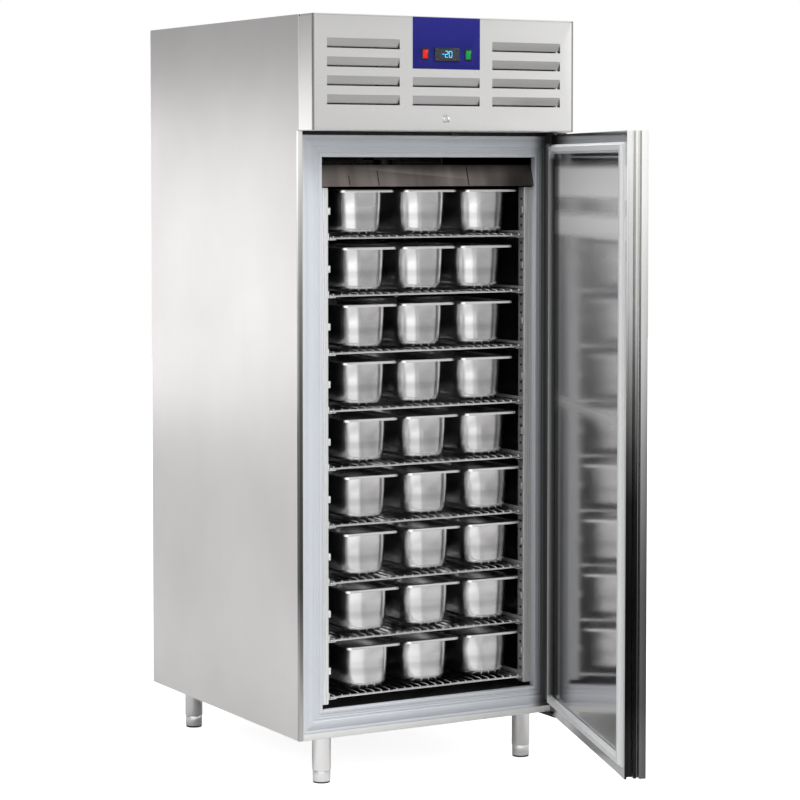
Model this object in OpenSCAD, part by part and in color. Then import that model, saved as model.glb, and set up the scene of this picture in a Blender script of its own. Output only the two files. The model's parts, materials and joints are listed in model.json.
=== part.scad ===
// Ice cream storage freezer: a tall one-door cabinet with nine sliding wire shelves, each
// holding six 5 litre pans, and a cooling unit on top behind a hinged header.
// X runs along the front, to the right. Y runs to the back. Z is up from the floor.
// The origin lies on the floor under the middle of the insulated body.

/* [Cabinet] */
// Width of the cabinet
body_w = 800; // [780:5:840]
// Depth of the insulated body, without the door
body_d = 930; // [900:5:1000]
// Height over everything
total_h = 2030; // [2010:5:2100]
// Height of the base panel above the floor
floor_gap = 125; // [110:1:150]
// Thickness of the sheet steel
sheet = 1; // [0.8:0.1:1.5]
// Height of the compartment for the cooling unit
unit_h = 302; // [296:1:320]

/* [Insulated walls] */
// Thickness of each side wall
side_wall = 70; // [66:1:74]
// Thickness of the floor
floor_wall = 75; // [70:1:82]
// Thickness of the roof
roof_wall = 68; // [60:1:74]
// Thickness of the back wall
back_wall = 70; // [60:1:80]
// Width of the steel stile beside the plastic door frame
stile_w = 12; // [8:1:16]
// Height of the steel rail below the plastic door frame
rail_h = 17; // [12:1:22]
// Height of the steel strip above the plastic door frame
strip_h = 10; // [8:1:14]
// Depth of the plastic door frame
frame_d = 20; // [14:1:28]
// Width of the frame's flat outer band
frame_band = 31; // [26:1:34]
// Width of the groove inside that band
frame_groove = 18; // [12:1:20]
// Depth of that groove
groove_d = 2; // [1:0.5:4]

/* [Rack] */
// Width of a rack upright
upright_w = 26; // [24:1:28]
// Depth of a rack upright
upright_d = 30; // [24:1:40]
// Wall of a rack upright
upright_t = 2; // [1.5:0.5:3]
// Gap below each upright
upright_gap = 12; // [0:1:14]
// Distance of a shelf from each side of the cavity
shelf_side = 31; // [30:1:36]
// Room behind a shelf
shelf_rear = 47; // [40:1:60]
// How far a shelf stands back from the body's front
shelf_back = 13; // [10:1:20]
// Height of the lowest shelf above the cavity's floor
shelf_low = 36; // [30:1:44]
// Gap between the highest pans and the evaporator's housing
rack_gap = 9; // [6:1:20]
// Distance of the rear uprights from the shelves' back ends
upright_in = 50; // [40:1:80]
// Thickness of the wires that carry the pans
wire_t = 4; // [3:0.5:5]
// Spacing of these wires
wire_pitch = 24; // [20:1:30]
// Thickness of the shelf's frame rods
rod_t = 6; // [5:0.5:7]
// Wall of a shelf runner
runner_t = 2; // [1.5:0.5:2.5]
// How far a runner reaches under its shelf
runner_ledge = 18; // [12:1:24]
// Height of a runner above its ledge
runner_h = 16; // [12:1:20]
// Width, depth and height of the clips on the uprights
clip_size = [6, 10, 18];
// Height of a clip above its shelf
clip_up = 55; // [40:1:80]
// Clearance below a sliding shelf
slide_gap = 0.3; // [0.2:0.05:0.5]

/* [Pans] */
// Height from a pan's rim to the wires of the shelf above
pan_room = 32.25; // [30:0.25:40]
// Distance of the outer pans from the shelf's sides
pan_side = 21.5; // [18:0.5:26]
// Distance of the rear pans from the shelf's back
pan_rear = 55; // [50:1:70]
// Wall of a pan
pan_t = 1; // [0.8:0.1:1.5]
// Width of the rim along a pan's sides
pan_side_rim = 10; // [8:0.5:15]
// Width of the rim at a pan's ends, where it is lifted
pan_end_rim = 18; // [12:0.5:26]
// Height of the rim's turned-down edge
rim_edge = 5; // [3:0.5:6]
// Radius of the rim's corners
rim_r = 14; // [8:1:20]
// How far each side draws in towards the bottom
pan_taper = 5; // [4:0.5:8]
// Radius of a pan's upright corners
pan_r = 44; // [30:1:50]
// Gap between pans side by side
pan_gap = 30; // [24:1:36]
// Gap between the front and the rear row
row_gap = 20; // [14:1:30]
// Set-back of the front row from the shelf's front
pan_back = 5; // [2:1:10]
// How far the left, middle and right pans of each shelf stand off an even spacing
pan_shift = [[13, 12, 8], [20, 8, -6], [22, 5, -5], [20, 4, -4], [24, 18, 8], [25, 24, 19],
    [23, 25, 19], [28, 24, 17], [32, 20, 15]];

/* [Header] */
// How far the header stands out from the body
header_out = 80; // [72:1:90]
// Gap between the header and the body
header_gap = 2; // [1.5:0.5:3]
// Width of the outer columns of louvres
louvre_w = 216; // [190:1:220]
// Height of a louvre's opening
louvre_h = 26; // [20:1:30]
// Spacing of the louvres
louvre_pitch = 48.7; // [44:0.1:50]
// Height of the top louvre's upper edge below the header's top
louvre_down = 62.5; // [60:0.5:72]
// Distance from the header's middle to the inner end of the outer louvres
louvre_in = 142; // [130:1:150]
// Depth that a louvre's blade is pressed in
louvre_press = 8; // [5:0.5:12]
// Gap under a blade's lower edge
louvre_slit = 3; // [2:0.5:5]
// Width of the blue plate and of the two louvres below it
plate_w = 206; // [190:1:220]
// Height of the blue plate
plate_h = 136; // [130:1:138]
// Thickness of the blue plate
plate_t = 1; // [0.8:0.1:2]
// Distance of the blue plate from the header's top
plate_down = 2; // [1:0.5:4]
// Radius of the header's pivot pins
tilt_pin_r = 2.5; // [2:0.1:3]
// Distance of those pins from the header's top and rear edges
tilt_pin_in = 4; // [4:0.1:5]

/* [Controls] */
// Height of the controls' centre line below the header's top
controls_down = 98.5; // [94:0.5:104]
// Distance of each rocker switch from the middle
switch_x = 66; // [60:1:72]
// Width and height of a rocker switch's bezel
bezel_size = [22, 30];
// Thickness of a bezel's rim
bezel_t = 1.5; // [1:0.1:2.5]
// Depth of a switch's body behind the plate
switch_d = 22; // [20:1:30]
// Width and height of a rocker
rocker_size = [14.4, 23];
// Angle of a rocker to either side
rocker_deg = 8; // [5:1:9]
// Width and height of the thermostat's front
display_size = [77, 35];
// Thickness of the thermostat's front
display_t = 3; // [2.5:0.1:4]
// Depth of the thermostat's body
display_d = 55; // [40:1:58]
// Width and height of a push key
key_size = [7, 4];
// Travel of a push key
key_travel = 0.8; // [0.5:0.1:1]
// Height of a key above the thermostat's front
key_proud = 1; // [1:0.1:1.5]
// Clearance round a key
key_gap = 0.2; // [0.15:0.05:0.3]

/* [Lock] */
// Height of the lock above the header's lower edge
lock_up = 34; // [30:1:38]
// Radius of the lock's collar
lock_collar_r = 10; // [9.5:0.1:12]
// Radius of the lock's body
lock_body_r = 8.5; // [8:0.1:9]
// Radius of the turning plug
plug_r = 6.75; // [6:0.05:7.5]
// Depth of the lock's body behind the header's front
lock_d = 25; // [20:1:30]
// Length of the cam from the plug's centre
cam_l = 47; // [44:1:50]
// Width of the cam
cam_w = 12; // [9:1:14]
// Thickness of the cam
cam_t = 2.5; // [2:0.5:4]
// Clearance of the slots that the cam swings through
cam_gap = 3; // [2:0.5:5]

/* [Door] */
// Thickness of the door
door_t = 55; // [50:1:60]
// Gap between the closed door and the body
door_gap = 14; // [12:0.5:16]
// How far the door reaches below the base panel
door_below = 2; // [0:0.5:2]
// Gap between the door and the header
door_above = 5; // [5:0.5:8]
// Angle of the open door as it stands in the photograph
open_deg = 70.3; // [50:0.1:100]
// Distance of the hinge axis from the cabinet's side
hinge_in = 14; // [12:0.5:18]
// Distance of the hinge axis from the body's front
hinge_out = 30; // [28:0.5:36]
// Radius of the hinge pins
pin_r = 5; // [4:0.5:6]
// Radius of the hinge bushes
bush_r = 8; // [7.5:0.5:10]
// Length of the hinge bushes
bush_l = 15; // [12:1:20]
// Thickness of the hinge brackets
bracket_t = 3; // [2.5:0.5:3.5]
// Thickness of the lower bracket's plate
step_t = 5; // [4:0.5:6]
// Half the width of a bracket, on the side away from the cabinet's side
bracket_half = 20; // [18:1:24]
// Length of the lower bracket under the base panel
bracket_grip = 45; // [40:1:60]
// Radial clearance of everything that turns in a bore
run = 0.05; // [0.02:0.01:0.08]
// Width of the inner edge beside the grip
grip_edge = 6; // [5:1:12]
// Width of the grip's channel
grip_w = 31; // [26:1:33]
// Depth of the grip's channel
grip_d = 24; // [18:1:30]
// Width of the gasket
gasket_w = 25; // [20:1:28]
// Thickness of the gasket
gasket_t = 13; // [11:0.5:13.5]
// Distance of the gasket from the door's long edges
gasket_side = 14; // [13:1:18]
// Distance of the gasket from the door's short edges
gasket_end = 28; // [27:1:32]

/* [Legs] */
// Distance of the legs from the cabinet's sides
leg_side = 87; // [70:1:100]
// Distance of the front legs from the body's front
leg_front = 41; // [36:1:60]
// Distance of the back legs from the body's back
leg_back = 93; // [60:1:110]
// Radius of a leg
leg_r = 25; // [22:0.5:28]
// Wall of a leg
leg_wall = 2; // [1.5:0.5:3]
// Radius of a leg's top plate
leg_plate_r = 32; // [30:1:36]
// Thickness of a leg's top plate
leg_plate_t = 3; // [2:0.5:5]
// Thickness of the plug in a leg's lower end
leg_plug = 12; // [8:1:16]
// Radius of a levelling foot
foot_r = 23.5; // [20:0.5:24]
// Height of a levelling foot
foot_h = 34; // [24:1:40]
// Radius of a levelling foot's stem
stem_r = 8; // [6:0.5:9]

/* [Cooling unit] */
// Radius of the compressor's shell
compressor_r = 82; // [76:1:86]
// Height of the compressor's shell
compressor_h = 190; // [170:5:210]
// Width, depth and height of the condenser
condenser_size = [300, 48, 236];
// Radius of the condenser's fan
fan_r = 104; // [96:1:106]
// Radius of the evaporator's fan
air_fan_r = 80; // [70:1:84]
// Spacing of the coils' fins
fin_pitch = 10; // [8:1:14]
// Thickness of a fin
fin_t = 1.5; // [1:0.5:3]
// Height of the evaporator's housing
housing_h = 77; // [76:1:79]
// Distance of that housing from the body's front
housing_in = 5; // [3:1:10]
// Room behind that housing
housing_back = 60; // [50:1:70]
// Distance of the evaporator's fan from the body's front
air_fan_in = 265; // [240:5:290]
// Distances of the compressor's middle from the left side and the back
compressor_in = [190, 250];
// Place of the condenser's middle: from the cabinet's middle, and behind the body's front
condenser_in = [40, 60];
// Height of the condenser above the deck
condenser_up = 20; // [15:1:25]
// Distances of the electrical box from the right side and the body's front
box_in = [30, 250];
// Distances of the two pipe ports from the left side
port_in = [170, 145];
// Distance of the pipe ports from the cavity's back
port_back = 45; // [35:1:50]
// Distance of the cable gland from the right side, and its height above the deck
gland_in = [100, 52];
// Distance of the condenser's fan from its shroud
fan_back = 42; // [36:1:48]
// Radius of the refrigerant pipes
pipe_r = 5; // [4:0.5:6]
// Heights of the pipes' low and high runs above the deck
pipe_up = [40, 200];
// Heights of the compressor's suction and discharge stubs above the deck
stub_up = [60, 100];
// Distance of the liquid line from the compressor's shell
line_in = 28; // [24:1:34]
// Width, depth and height of the electrical box
box_size = [110, 180, 90];
// Radius of the cable gland's bore
gland_bore_r = 5.5; // [4:0.5:6.5]
// Radius of the cable gland's thread
gland_r = 10; // [9:0.5:12]

/* [Hidden] */
$fn = 48;

// Planes of the body
side_x = body_w / 2;
front_y = -body_d / 2;
back_y = body_d / 2;
deck_z = total_h - unit_h;
cavity_x = side_x - side_wall;
cavity_back = back_y - back_wall;
cavity_floor = floor_gap + floor_wall;
cavity_roof = deck_z - roof_wall;
frame_x = side_x - stile_w;
frame_low = floor_gap + rail_h;
frame_high = deck_z - strip_h;

// Rack and shelves
shelf_count = 9;
shelf_front = front_y + shelf_back;
shelf_w = 2 * (cavity_x - shelf_side);
shelf_d = cavity_back - shelf_rear - shelf_front;
shelf_h = wire_t + rod_t;
housing_low = cavity_roof - housing_h;
rack_h = housing_low - rack_gap - cavity_floor - shelf_low;
shelf_pitch = (rack_h + pan_room) / shelf_count;
upright_front = shelf_front + wire_t / 2;
upright_rear = shelf_front + shelf_d - upright_in;
function shelf_z(k) = cavity_floor + shelf_low + (shelf_count - k) * shelf_pitch;

// Pans, three across and two deep
pan_w = (shelf_w - 2 * pan_side - 2 * pan_gap) / 3;
pan_l = (shelf_d - pan_back - row_gap - pan_rear) / 2;
pan_h = shelf_pitch - pan_room;

// Evaporator housing, hung under the cavity's roof
housing_front = front_y + housing_in;
housing_rear = cavity_back - housing_back;
air_fan_y = front_y + air_fan_in;

// Door, closed
door_in = front_y - door_gap;
door_out = door_in - door_t;
door_low = floor_gap - door_below;
door_high = deck_z - door_above;
hinge = [side_x - hinge_in, front_y - hinge_out];
wash = 1;

// Header
header_front = front_y - header_out;
header_rear = front_y - header_gap;
tilt = [header_rear - tilt_pin_in, total_h - tilt_pin_in];
controls_z = total_h - controls_down;
plate_front = header_front - plate_t;
lock_z = deck_z + lock_up;
cam_y = header_front + lock_d;
cam_reach = cam_l + cam_gap + deck_z - lock_z;
display_hole = [display_size[0] - 6, display_size[1] - 6];
key_at = [display_size[0] / 2 - 7, display_size[1] / 2 - 5];
bezel_hole = [bezel_size[0] - 2.4, bezel_size[1] - 2.4];
rocker_well = [rocker_size[0] + 0.6, rocker_size[1] + 2];
rocker_y = plate_front + 3;

// Places in the compartment of the cooling unit
compressor_at = [compressor_in[0] - side_x, back_y - compressor_in[1]];
condenser_at = [condenser_in[0], front_y + condenser_in[1]];
fan_z = deck_z + condenser_up + condenser_size[2] / 2;
shroud_y = condenser_at[1] + condenser_size[1];
box_at = [side_x - box_in[0] - box_size[0], front_y + box_in[1]];
port_y = cavity_back - port_back;
port_x = [port_in[0] - side_x, port_in[1] - side_x];
gland_at = [side_x - gland_in[0], deck_z + gland_in[1]];
gland_out = 20;

// A box between two opposite corners
module box(lo, hi) {
    translate(lo) cube(hi - lo);
}

// A box that is the same on both sides of x = 0
module wide_box(half, lo, hi) {
    box([-half, lo[0], lo[1]], [half, hi[0], hi[1]]);
}

// A flat rectangle with rounded corners
module rounded(w, l, r) {
    square([w - 2 * r, l], center = true);
    square([w, l - 2 * r], center = true);
    for (x = [-1, 1], y = [-1, 1])
        translate([x * (w / 2 - r), y * (l / 2 - r)]) circle(r);
}

// A cylinder along Y that starts at the given point
module along_y(at, r, l) {
    translate(at) rotate([-90, 0, 0]) cylinder(r = r, h = l);
}

// Outer panels
module side_panel() {
    box([-side_x, front_y, floor_gap], [-side_x + sheet, back_y, total_h]);
    box([-side_x, front_y, floor_gap], [-frame_x, front_y + sheet, total_h]);
}

module left_side_panel() {
    color([0.72, 0.71, 0.70]) side_panel();
}

module right_side_panel() {
    color([0.72, 0.71, 0.70]) mirror([1, 0, 0]) side_panel();
}

module front_lip(z0, z1) {
    wide_box(frame_x, [front_y, z0], [front_y + sheet, z1]);
}

module base_panel() {
    color([0.78, 0.78, 0.77]) {
        wide_box(side_x - sheet, [front_y + sheet, floor_gap], [back_y, floor_gap + sheet]);
        front_lip(floor_gap, frame_low);
    }
}

module pipe_ports(z0, z1) {
    for (x = port_x)
        translate([x, port_y, z0]) cylinder(r = pipe_r + 1, h = z1 - z0);
}

module unit_deck() {
    color([0.75, 0.75, 0.75]) difference() {
        union() {
            wide_box(side_x - sheet, [front_y + sheet, deck_z - sheet], [back_y - sheet, deck_z]);
            front_lip(frame_high, deck_z);
        }
        pipe_ports(deck_z - 2 * sheet, deck_z + 1);
    }
}

// Vent slots stand in rows: at is the first slot's lower corner, step the pitch
module vent_slots(columns, rows, at, step, size) {
    for (i = [0 : columns - 1], j = [0 : rows - 1])
        translate(at + [i * step[0], j * step[1]]) square(size);
}

slot_size = [120, 8];
slot_step = [150, 24];
slot_columns = floor((body_w - 100) / slot_step[0]);
slot_rows = 9;
slot_row_w = (slot_columns - 1) * slot_step[0] + slot_size[0];

module back_panel() {
    color([0.70, 0.70, 0.70]) difference() {
        wide_box(side_x - sheet, [back_y - sheet, floor_gap + sheet], [back_y, total_h - sheet]);
        translate([0, back_y + sheet, 0]) rotate([90, 0, 0]) linear_extrude(3 * sheet)
            vent_slots(slot_columns, slot_rows, [-slot_row_w / 2, deck_z + 80], slot_step, slot_size);
        along_y([gland_at[0], back_y - 2 * sheet, gland_at[1]], gland_r + run, 4 * sheet);
    }
}

module top_cover() {
    top_step = [slot_step[0], 40];
    color([0.75, 0.75, 0.75]) difference() {
        wide_box(side_x - sheet, [front_y + sheet, total_h - sheet], [back_y, total_h]);
        translate([0, 0, total_h - 2 * sheet]) linear_extrude(3 * sheet)
            vent_slots(slot_columns, 10, [-slot_row_w / 2, 0], top_step, slot_size);
    }
    color([0.75, 0.75, 0.75]) front_lip(total_h - strip_h, total_h);
}

// Insulated walls
module insulation_foam() {
    x = side_x - sheet;
    color([0.93, 0.87, 0.66]) difference() {
        wide_box(x, [front_y + sheet, floor_gap + sheet], [back_y - sheet, deck_z - sheet]);
        wide_box(frame_x, [front_y, frame_low], [front_y + frame_d, frame_high]);
        wide_box(cavity_x + sheet, [front_y, cavity_floor - sheet],
            [cavity_back + sheet, cavity_roof + sheet]);
        pipe_ports(cavity_roof, deck_z);
    }
}

module inner_liner() {
    color([0.80, 0.80, 0.80]) difference() {
        wide_box(cavity_x + sheet, [front_y + frame_d, cavity_floor - sheet],
            [cavity_back + sheet, cavity_roof + sheet]);
        wide_box(cavity_x, [front_y, cavity_floor], [cavity_back, cavity_roof]);
        pipe_ports(cavity_roof - sheet, cavity_roof + 2 * sheet);
    }
}

// Each side of the door frame is one mitred length of the same profile
module frame_side(length, width) {
    inner = frame_band + frame_groove;
    difference() {
        rotate([0, 90, 0]) translate([0, 0, -length / 2]) linear_extrude(length)
            polygon([[0, 0], [-frame_band, 0], [-frame_band, groove_d], [-inner, groove_d],
                [-inner, 0], [-width, 0], [-width, frame_d], [0, frame_d]]);
        for (s = [-1, 1])
            translate([s * length / 2, -1, 0]) rotate([0, s * atan(1), 0])
                translate([s > 0 ? 0 : -3 * width, 0, -width])
                    cube([3 * width, frame_d + 2, 4 * width]);
    }
}

frame_w = frame_x - cavity_x;

module door_frame() {
    h = frame_high - frame_low;
    mid = (frame_high + frame_low) / 2;
    color([0.70, 0.73, 0.76]) {
        translate([0, front_y, frame_low]) frame_side(2 * frame_x, cavity_floor - frame_low);
        translate([0, front_y, frame_high]) mirror([0, 0, 1])
            frame_side(2 * frame_x, frame_high - cavity_roof);
        translate([-frame_x, front_y, mid]) rotate([0, 90, 0]) frame_side(h, frame_w);
        translate([frame_x, front_y, mid]) rotate([0, -90, 0]) frame_side(h, frame_w);
    }
}

// Rack
module upright(y) {
    box([-cavity_x, y, cavity_floor + upright_gap],
        [-cavity_x + upright_w, y + upright_t, housing_low - 4]);
    for (x = [-cavity_x, -cavity_x + upright_w - upright_t])
        box([x, y, cavity_floor + upright_gap],
            [x + upright_t, y + upright_d, housing_low - 4]);
}

module rack_uprights() {
    color([0.80, 0.80, 0.80])
        for (s = [0, 1], y = [upright_front, upright_rear])
            mirror([s, 0, 0]) upright(y);
}

module shelf_runners() {
    x = cavity_x - upright_w;
    ledge_x = shelf_w / 2 - runner_ledge;
    clip_z = clip_up + clip_size[2];
    color([0.85, 0.85, 0.85])
        for (s = [0, 1], k = [1 : shelf_count]) mirror([s, 0, 0]) {
            z = shelf_z(k) - shelf_h - slide_gap;
            box([ledge_x, upright_front, z - runner_t], [x, upright_rear + upright_d, z]);
            box([x - runner_t, upright_front, z - runner_t],
                [x, upright_rear + upright_d, z + runner_h]);
            box([x - clip_size[0], upright_front, shelf_z(k) + clip_up],
                [x, upright_front + clip_size[1], shelf_z(k) + clip_z]);
        }
}

module wire_shelf(k) {
    half = shelf_w / 2;
    rear = shelf_front + shelf_d;
    wires = floor((half - rod_t) / wire_pitch);
    rod_z = shelf_z(k) - shelf_h;
    color([0.75, 0.76, 0.77]) {
        translate([0, 0, rod_z]) linear_extrude(rod_t) {
            difference() {
                translate([-half, shelf_front]) square([shelf_w, shelf_d]);
                translate([-half + rod_t, shelf_front + rod_t])
                    square([shelf_w - 2 * rod_t, shelf_d - 2 * rod_t]);
            }
            for (n = [1, 2])
                translate([-half, shelf_front + n * shelf_d / 3])
                    square([shelf_w, rod_t]);
        }
        for (i = [-wires : wires])
            translate([i * wire_pitch - wire_t / 2, shelf_front, rod_z + rod_t])
                cube([wire_t, rear - shelf_front, wire_t]);
    }
}

// The inside or the outside of a pan: two wedges that cross, with rounded upright corners
module pan_form(w, l, h, r) {
    intersection() {
        rotate([90, 0, 0]) linear_extrude(2 * l, center = true)
            polygon([[-w / 2 + pan_taper, 0], [w / 2 - pan_taper, 0], [w / 2, h], [-w / 2, h]]);
        rotate([90, 0, 90]) linear_extrude(2 * w, center = true)
            polygon([[-l / 2 + pan_taper, 0], [l / 2 - pan_taper, 0], [l / 2, h], [-l / 2, h]]);
        linear_extrude(h) rounded(w, l, r);
    }
}

module pan() {
    w = pan_w - 2 * pan_side_rim;
    l = pan_l - 2 * pan_end_rim;
    difference() {
        union() {
            pan_form(w, l, pan_h, pan_r);
            difference() {
                translate([0, 0, pan_h - rim_edge]) linear_extrude(rim_edge)
                    rounded(pan_w, pan_l, rim_r);
                translate([0, 0, pan_h - rim_edge - 1]) linear_extrude(rim_edge + 1 - pan_t)
                    rounded(pan_w - 2 * pan_t, pan_l - 2 * pan_t, rim_r - pan_t);
            }
        }
        translate([0, 0, pan_t])
            pan_form(w - 2 * pan_t, l - 2 * pan_t, pan_h, pan_r - pan_t);
    }
}

module pans(k) {
    row_y = [shelf_front + pan_back + pan_l / 2, shelf_front + pan_back + 1.5 * pan_l + row_gap];
    color([0.85, 0.85, 0.86])
        for (i = [-1 : 1], y = row_y)
            translate([i * (pan_w + pan_gap) + pan_shift[k - 1][i + 1], y, shelf_z(k)]) pan();
}

// Evaporator and its housing
module evaporator_cover() {
    x = cavity_x - slide_gap;
    slope = 18;
    dark_gap = 20;
    roof = cavity_roof - slide_gap;
    color([0.42, 0.37, 0.34]) {
        difference() {
            wide_box(x, [housing_front, housing_low], [housing_rear, housing_low + sheet]);
            difference() {
                translate([0, air_fan_y, housing_low - 1]) cylinder(r = air_fan_r + 4, h = 3);
                for (turn = [0 : 45 : 135])
                    translate([0, air_fan_y, housing_low]) rotate([0, 0, turn])
                        cube([2 * air_fan_r + 20, 4, 4], center = true);
            }
        }
        rotate([90, 0, 90]) linear_extrude(2 * x, center = true)
            polygon([[housing_front, housing_low], [housing_front + sheet, housing_low],
                [housing_front + slope + sheet, roof - dark_gap],
                [housing_front + slope, roof - dark_gap]]);
        for (s = [0, 1]) mirror([s, 0, 0])
            box([x - sheet, housing_front + slope, housing_low], [x, housing_rear, roof]);
    }
}

// A coil is a comb of fins over the slab that holds its rows of tubes
module fin_block(w, h, fins) {
    core = h / 3;
    step = (w - fin_t) / (fins - 1);
    translate([-w / 2, -core / 2]) square([w, core]);
    for (i = [0 : fins - 1])
        translate([-w / 2 + i * step, -h / 2]) square([fin_t, h]);
}

coil_w = 2 * cavity_x - 120;
coil_h = housing_h - 24;
coil_front = air_fan_y + air_fan_r + 40;
coil_rear = housing_rear - 30;

module evaporator_coil() {
    z = housing_low + sheet + 2 + coil_h / 2;
    fins = floor(coil_w / fin_pitch);
    color([0.80, 0.55, 0.35]) {
        translate([0, coil_rear, z]) rotate([90, 0, 0])
            linear_extrude(coil_rear - coil_front) fin_block(coil_w, coil_h, fins);
        for (s = [-1, 1])
            translate([s * (coil_w / 2 + 1), (coil_front + coil_rear) / 2,
                (housing_low + sheet + cavity_roof) / 2])
                cube([2, coil_rear - coil_front, cavity_roof - housing_low - sheet - 2 * slide_gap],
                    center = true);
    }
}

hub_h = 18;
blade_t = 2;
shaft_r = 3;
air_hub_z = housing_low + sheet + 7;

module evaporator_fan_motor() {
    top = cavity_roof - slide_gap;
    color([0.25, 0.25, 0.27]) translate([0, air_fan_y, 0]) {
        translate([0, 0, top - 3]) cube([90, 60, 6 - 2 * slide_gap], center = true);
        translate([0, 0, air_hub_z + hub_h + 1]) cylinder(r = 26, h = top - air_hub_z - hub_h - 3);
        translate([0, 0, air_hub_z + 2]) cylinder(r = shaft_r, h = hub_h);
    }
}

// A fan's hub lies round the Z axis from z = 0 up
module fan_wheel(hub_r, tip_r, blades) {
    pitch_deg = 28;
    chord = hub_h / sin(pitch_deg) - 8;
    difference() {
        cylinder(r = hub_r, h = hub_h);
        translate([0, 0, -1]) cylinder(r = shaft_r + run, h = hub_h + 2);
    }
    for (i = [0 : blades - 1])
        rotate([0, 0, i * 360 / blades]) translate([(hub_r + tip_r) / 2 - 0.5, 0, hub_h / 2])
            rotate([pitch_deg, 0, 0]) cube([tip_r - hub_r, chord, blade_t], center = true);
}

module evaporator_fan() {
    color([0.2, 0.2, 0.2]) translate([0, air_fan_y, air_hub_z]) fan_wheel(17, air_fan_r - 3, 5);
}

// Hinge brackets with their pins, for the door and for the header
module door_bracket_low() {
    z = door_low - wash;
    x0 = hinge[0] - bracket_half;
    box([x0, hinge[1] - bracket_half, z - step_t], [side_x, front_y + bracket_grip, z]);
    box([x0, front_y + sheet, z - step_t], [side_x, front_y + bracket_grip, floor_gap]);
    translate([hinge[0], hinge[1], z - 1]) cylinder(r = pin_r, h = bush_l);
}

module door_bracket_high() {
    z = door_high + wash;
    x0 = hinge[0] - bracket_half;
    box([x0, hinge[1] - bracket_half, z], [side_x, front_y, z + bracket_t]);
    box([x0, front_y - bracket_t, door_high - gasket_end + bracket_t],
        [side_x, front_y, z + bracket_t]);
    translate([hinge[0], hinge[1], z + 1 - bush_l]) cylinder(r = pin_r, h = bush_l);
}

// A tongue from the body's front into the header, with the pin that the header tilts on
module header_bracket() {
    x1 = side_x - sheet - 2;
    tongue_h = 38;
    foot = [bracket_t + 8, tongue_h - 8];
    z0 = tilt[1] - tilt_pin_in / 2 - tongue_h;
    box([x1 - bracket_t, tilt[0] - tilt_pin_in, z0], [x1, front_y, z0 + tongue_h + 1]);
    box([x1 - foot[0], front_y - header_gap, z0], [x1, front_y, z0 + foot[1]]);
    translate([x1 - bracket_t, tilt[0], tilt[1]]) rotate([0, 90, 0])
        cylinder(r = tilt_pin_r, h = side_x - x1 + bracket_t);
}

module hinge_brackets() {
    color([0.70, 0.70, 0.72]) {
        door_bracket_low();
        door_bracket_high();
        header_bracket();
        mirror([1, 0, 0]) header_bracket();
    }
}

// Cooling unit on the deck
module compressor() {
    foot_t = 10;
    dome = 30;
    base = deck_z + foot_t;
    color([0.12, 0.12, 0.13]) translate([compressor_at[0], compressor_at[1], base]) {
        rotate_extrude() polygon([[0, 0], [compressor_r - 14, 0], [compressor_r - 2, 16],
            [compressor_r, 40], [compressor_r, compressor_h - dome],
            [compressor_r - 16, compressor_h - 10], [compressor_r - 40, compressor_h], [0, compressor_h]]);
        translate([0, 0, 2]) cube([2 * compressor_r - 20, 2 * compressor_r + 40, 4], center = true);
        for (s = [-1, 1], t = [-1, 1])
            translate([s * (compressor_r - 25), t * (compressor_r + 8), -foot_t])
                cylinder(r = 10, h = foot_t + 1);
    }
}

module condenser_coil() {
    fins = floor(condenser_size[0] / fin_pitch);
    color([0.35, 0.36, 0.38]) {
        translate([condenser_at[0], condenser_at[1] + condenser_size[1] / 2, deck_z + 20])
            linear_extrude(condenser_size[2])
                fin_block(condenser_size[0], condenser_size[1], fins);
        for (s = [-1, 1])
            translate([condenser_at[0] + s * (condenser_size[0] / 2 + 1),
                condenser_at[1] + condenser_size[1] / 2,
                deck_z + (condenser_up + condenser_size[2]) / 2])
                cube([2, condenser_size[1], condenser_size[2] + condenser_up], center = true);
    }
}

motor_y = shroud_y + fan_back;

module condenser_fan_motor() {
    z1 = deck_z + condenser_up + condenser_size[2];
    half = condenser_size[0] / 2;
    color([0.20, 0.20, 0.21]) translate([condenser_at[0], 0, 0]) {
        difference() {
            box([-half, shroud_y, deck_z], [half, shroud_y + 2, z1]);
            along_y([0, shroud_y - 1, fan_z], fan_r + 6, 4);
        }
        along_y([0, motor_y, fan_z], 36, 50);
        along_y([0, motor_y - hub_h - 2, fan_z], shaft_r, hub_h + 3);
        for (s = [-1, 1]) {
            box([s * (half - 10) - 8, motor_y + 20, fan_z - 8],
                [s * (half - 10) + 8, motor_y + 23, fan_z + 8]);
            box([s * (half - 10) - 8, shroud_y, fan_z - 8],
                [s * (half - 10) + 8, motor_y + 23, fan_z - 5]);
        }
        box([-half + 2, motor_y + 20, fan_z - 8], [half - 2, motor_y + 23, fan_z + 8]);
    }
}

module condenser_fan() {
    color([0.75, 0.76, 0.78])
        translate([condenser_at[0], motor_y - hub_h - 1, fan_z]) rotate([-90, 0, 0])
            fan_wheel(20, fan_r, 5);
}

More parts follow.
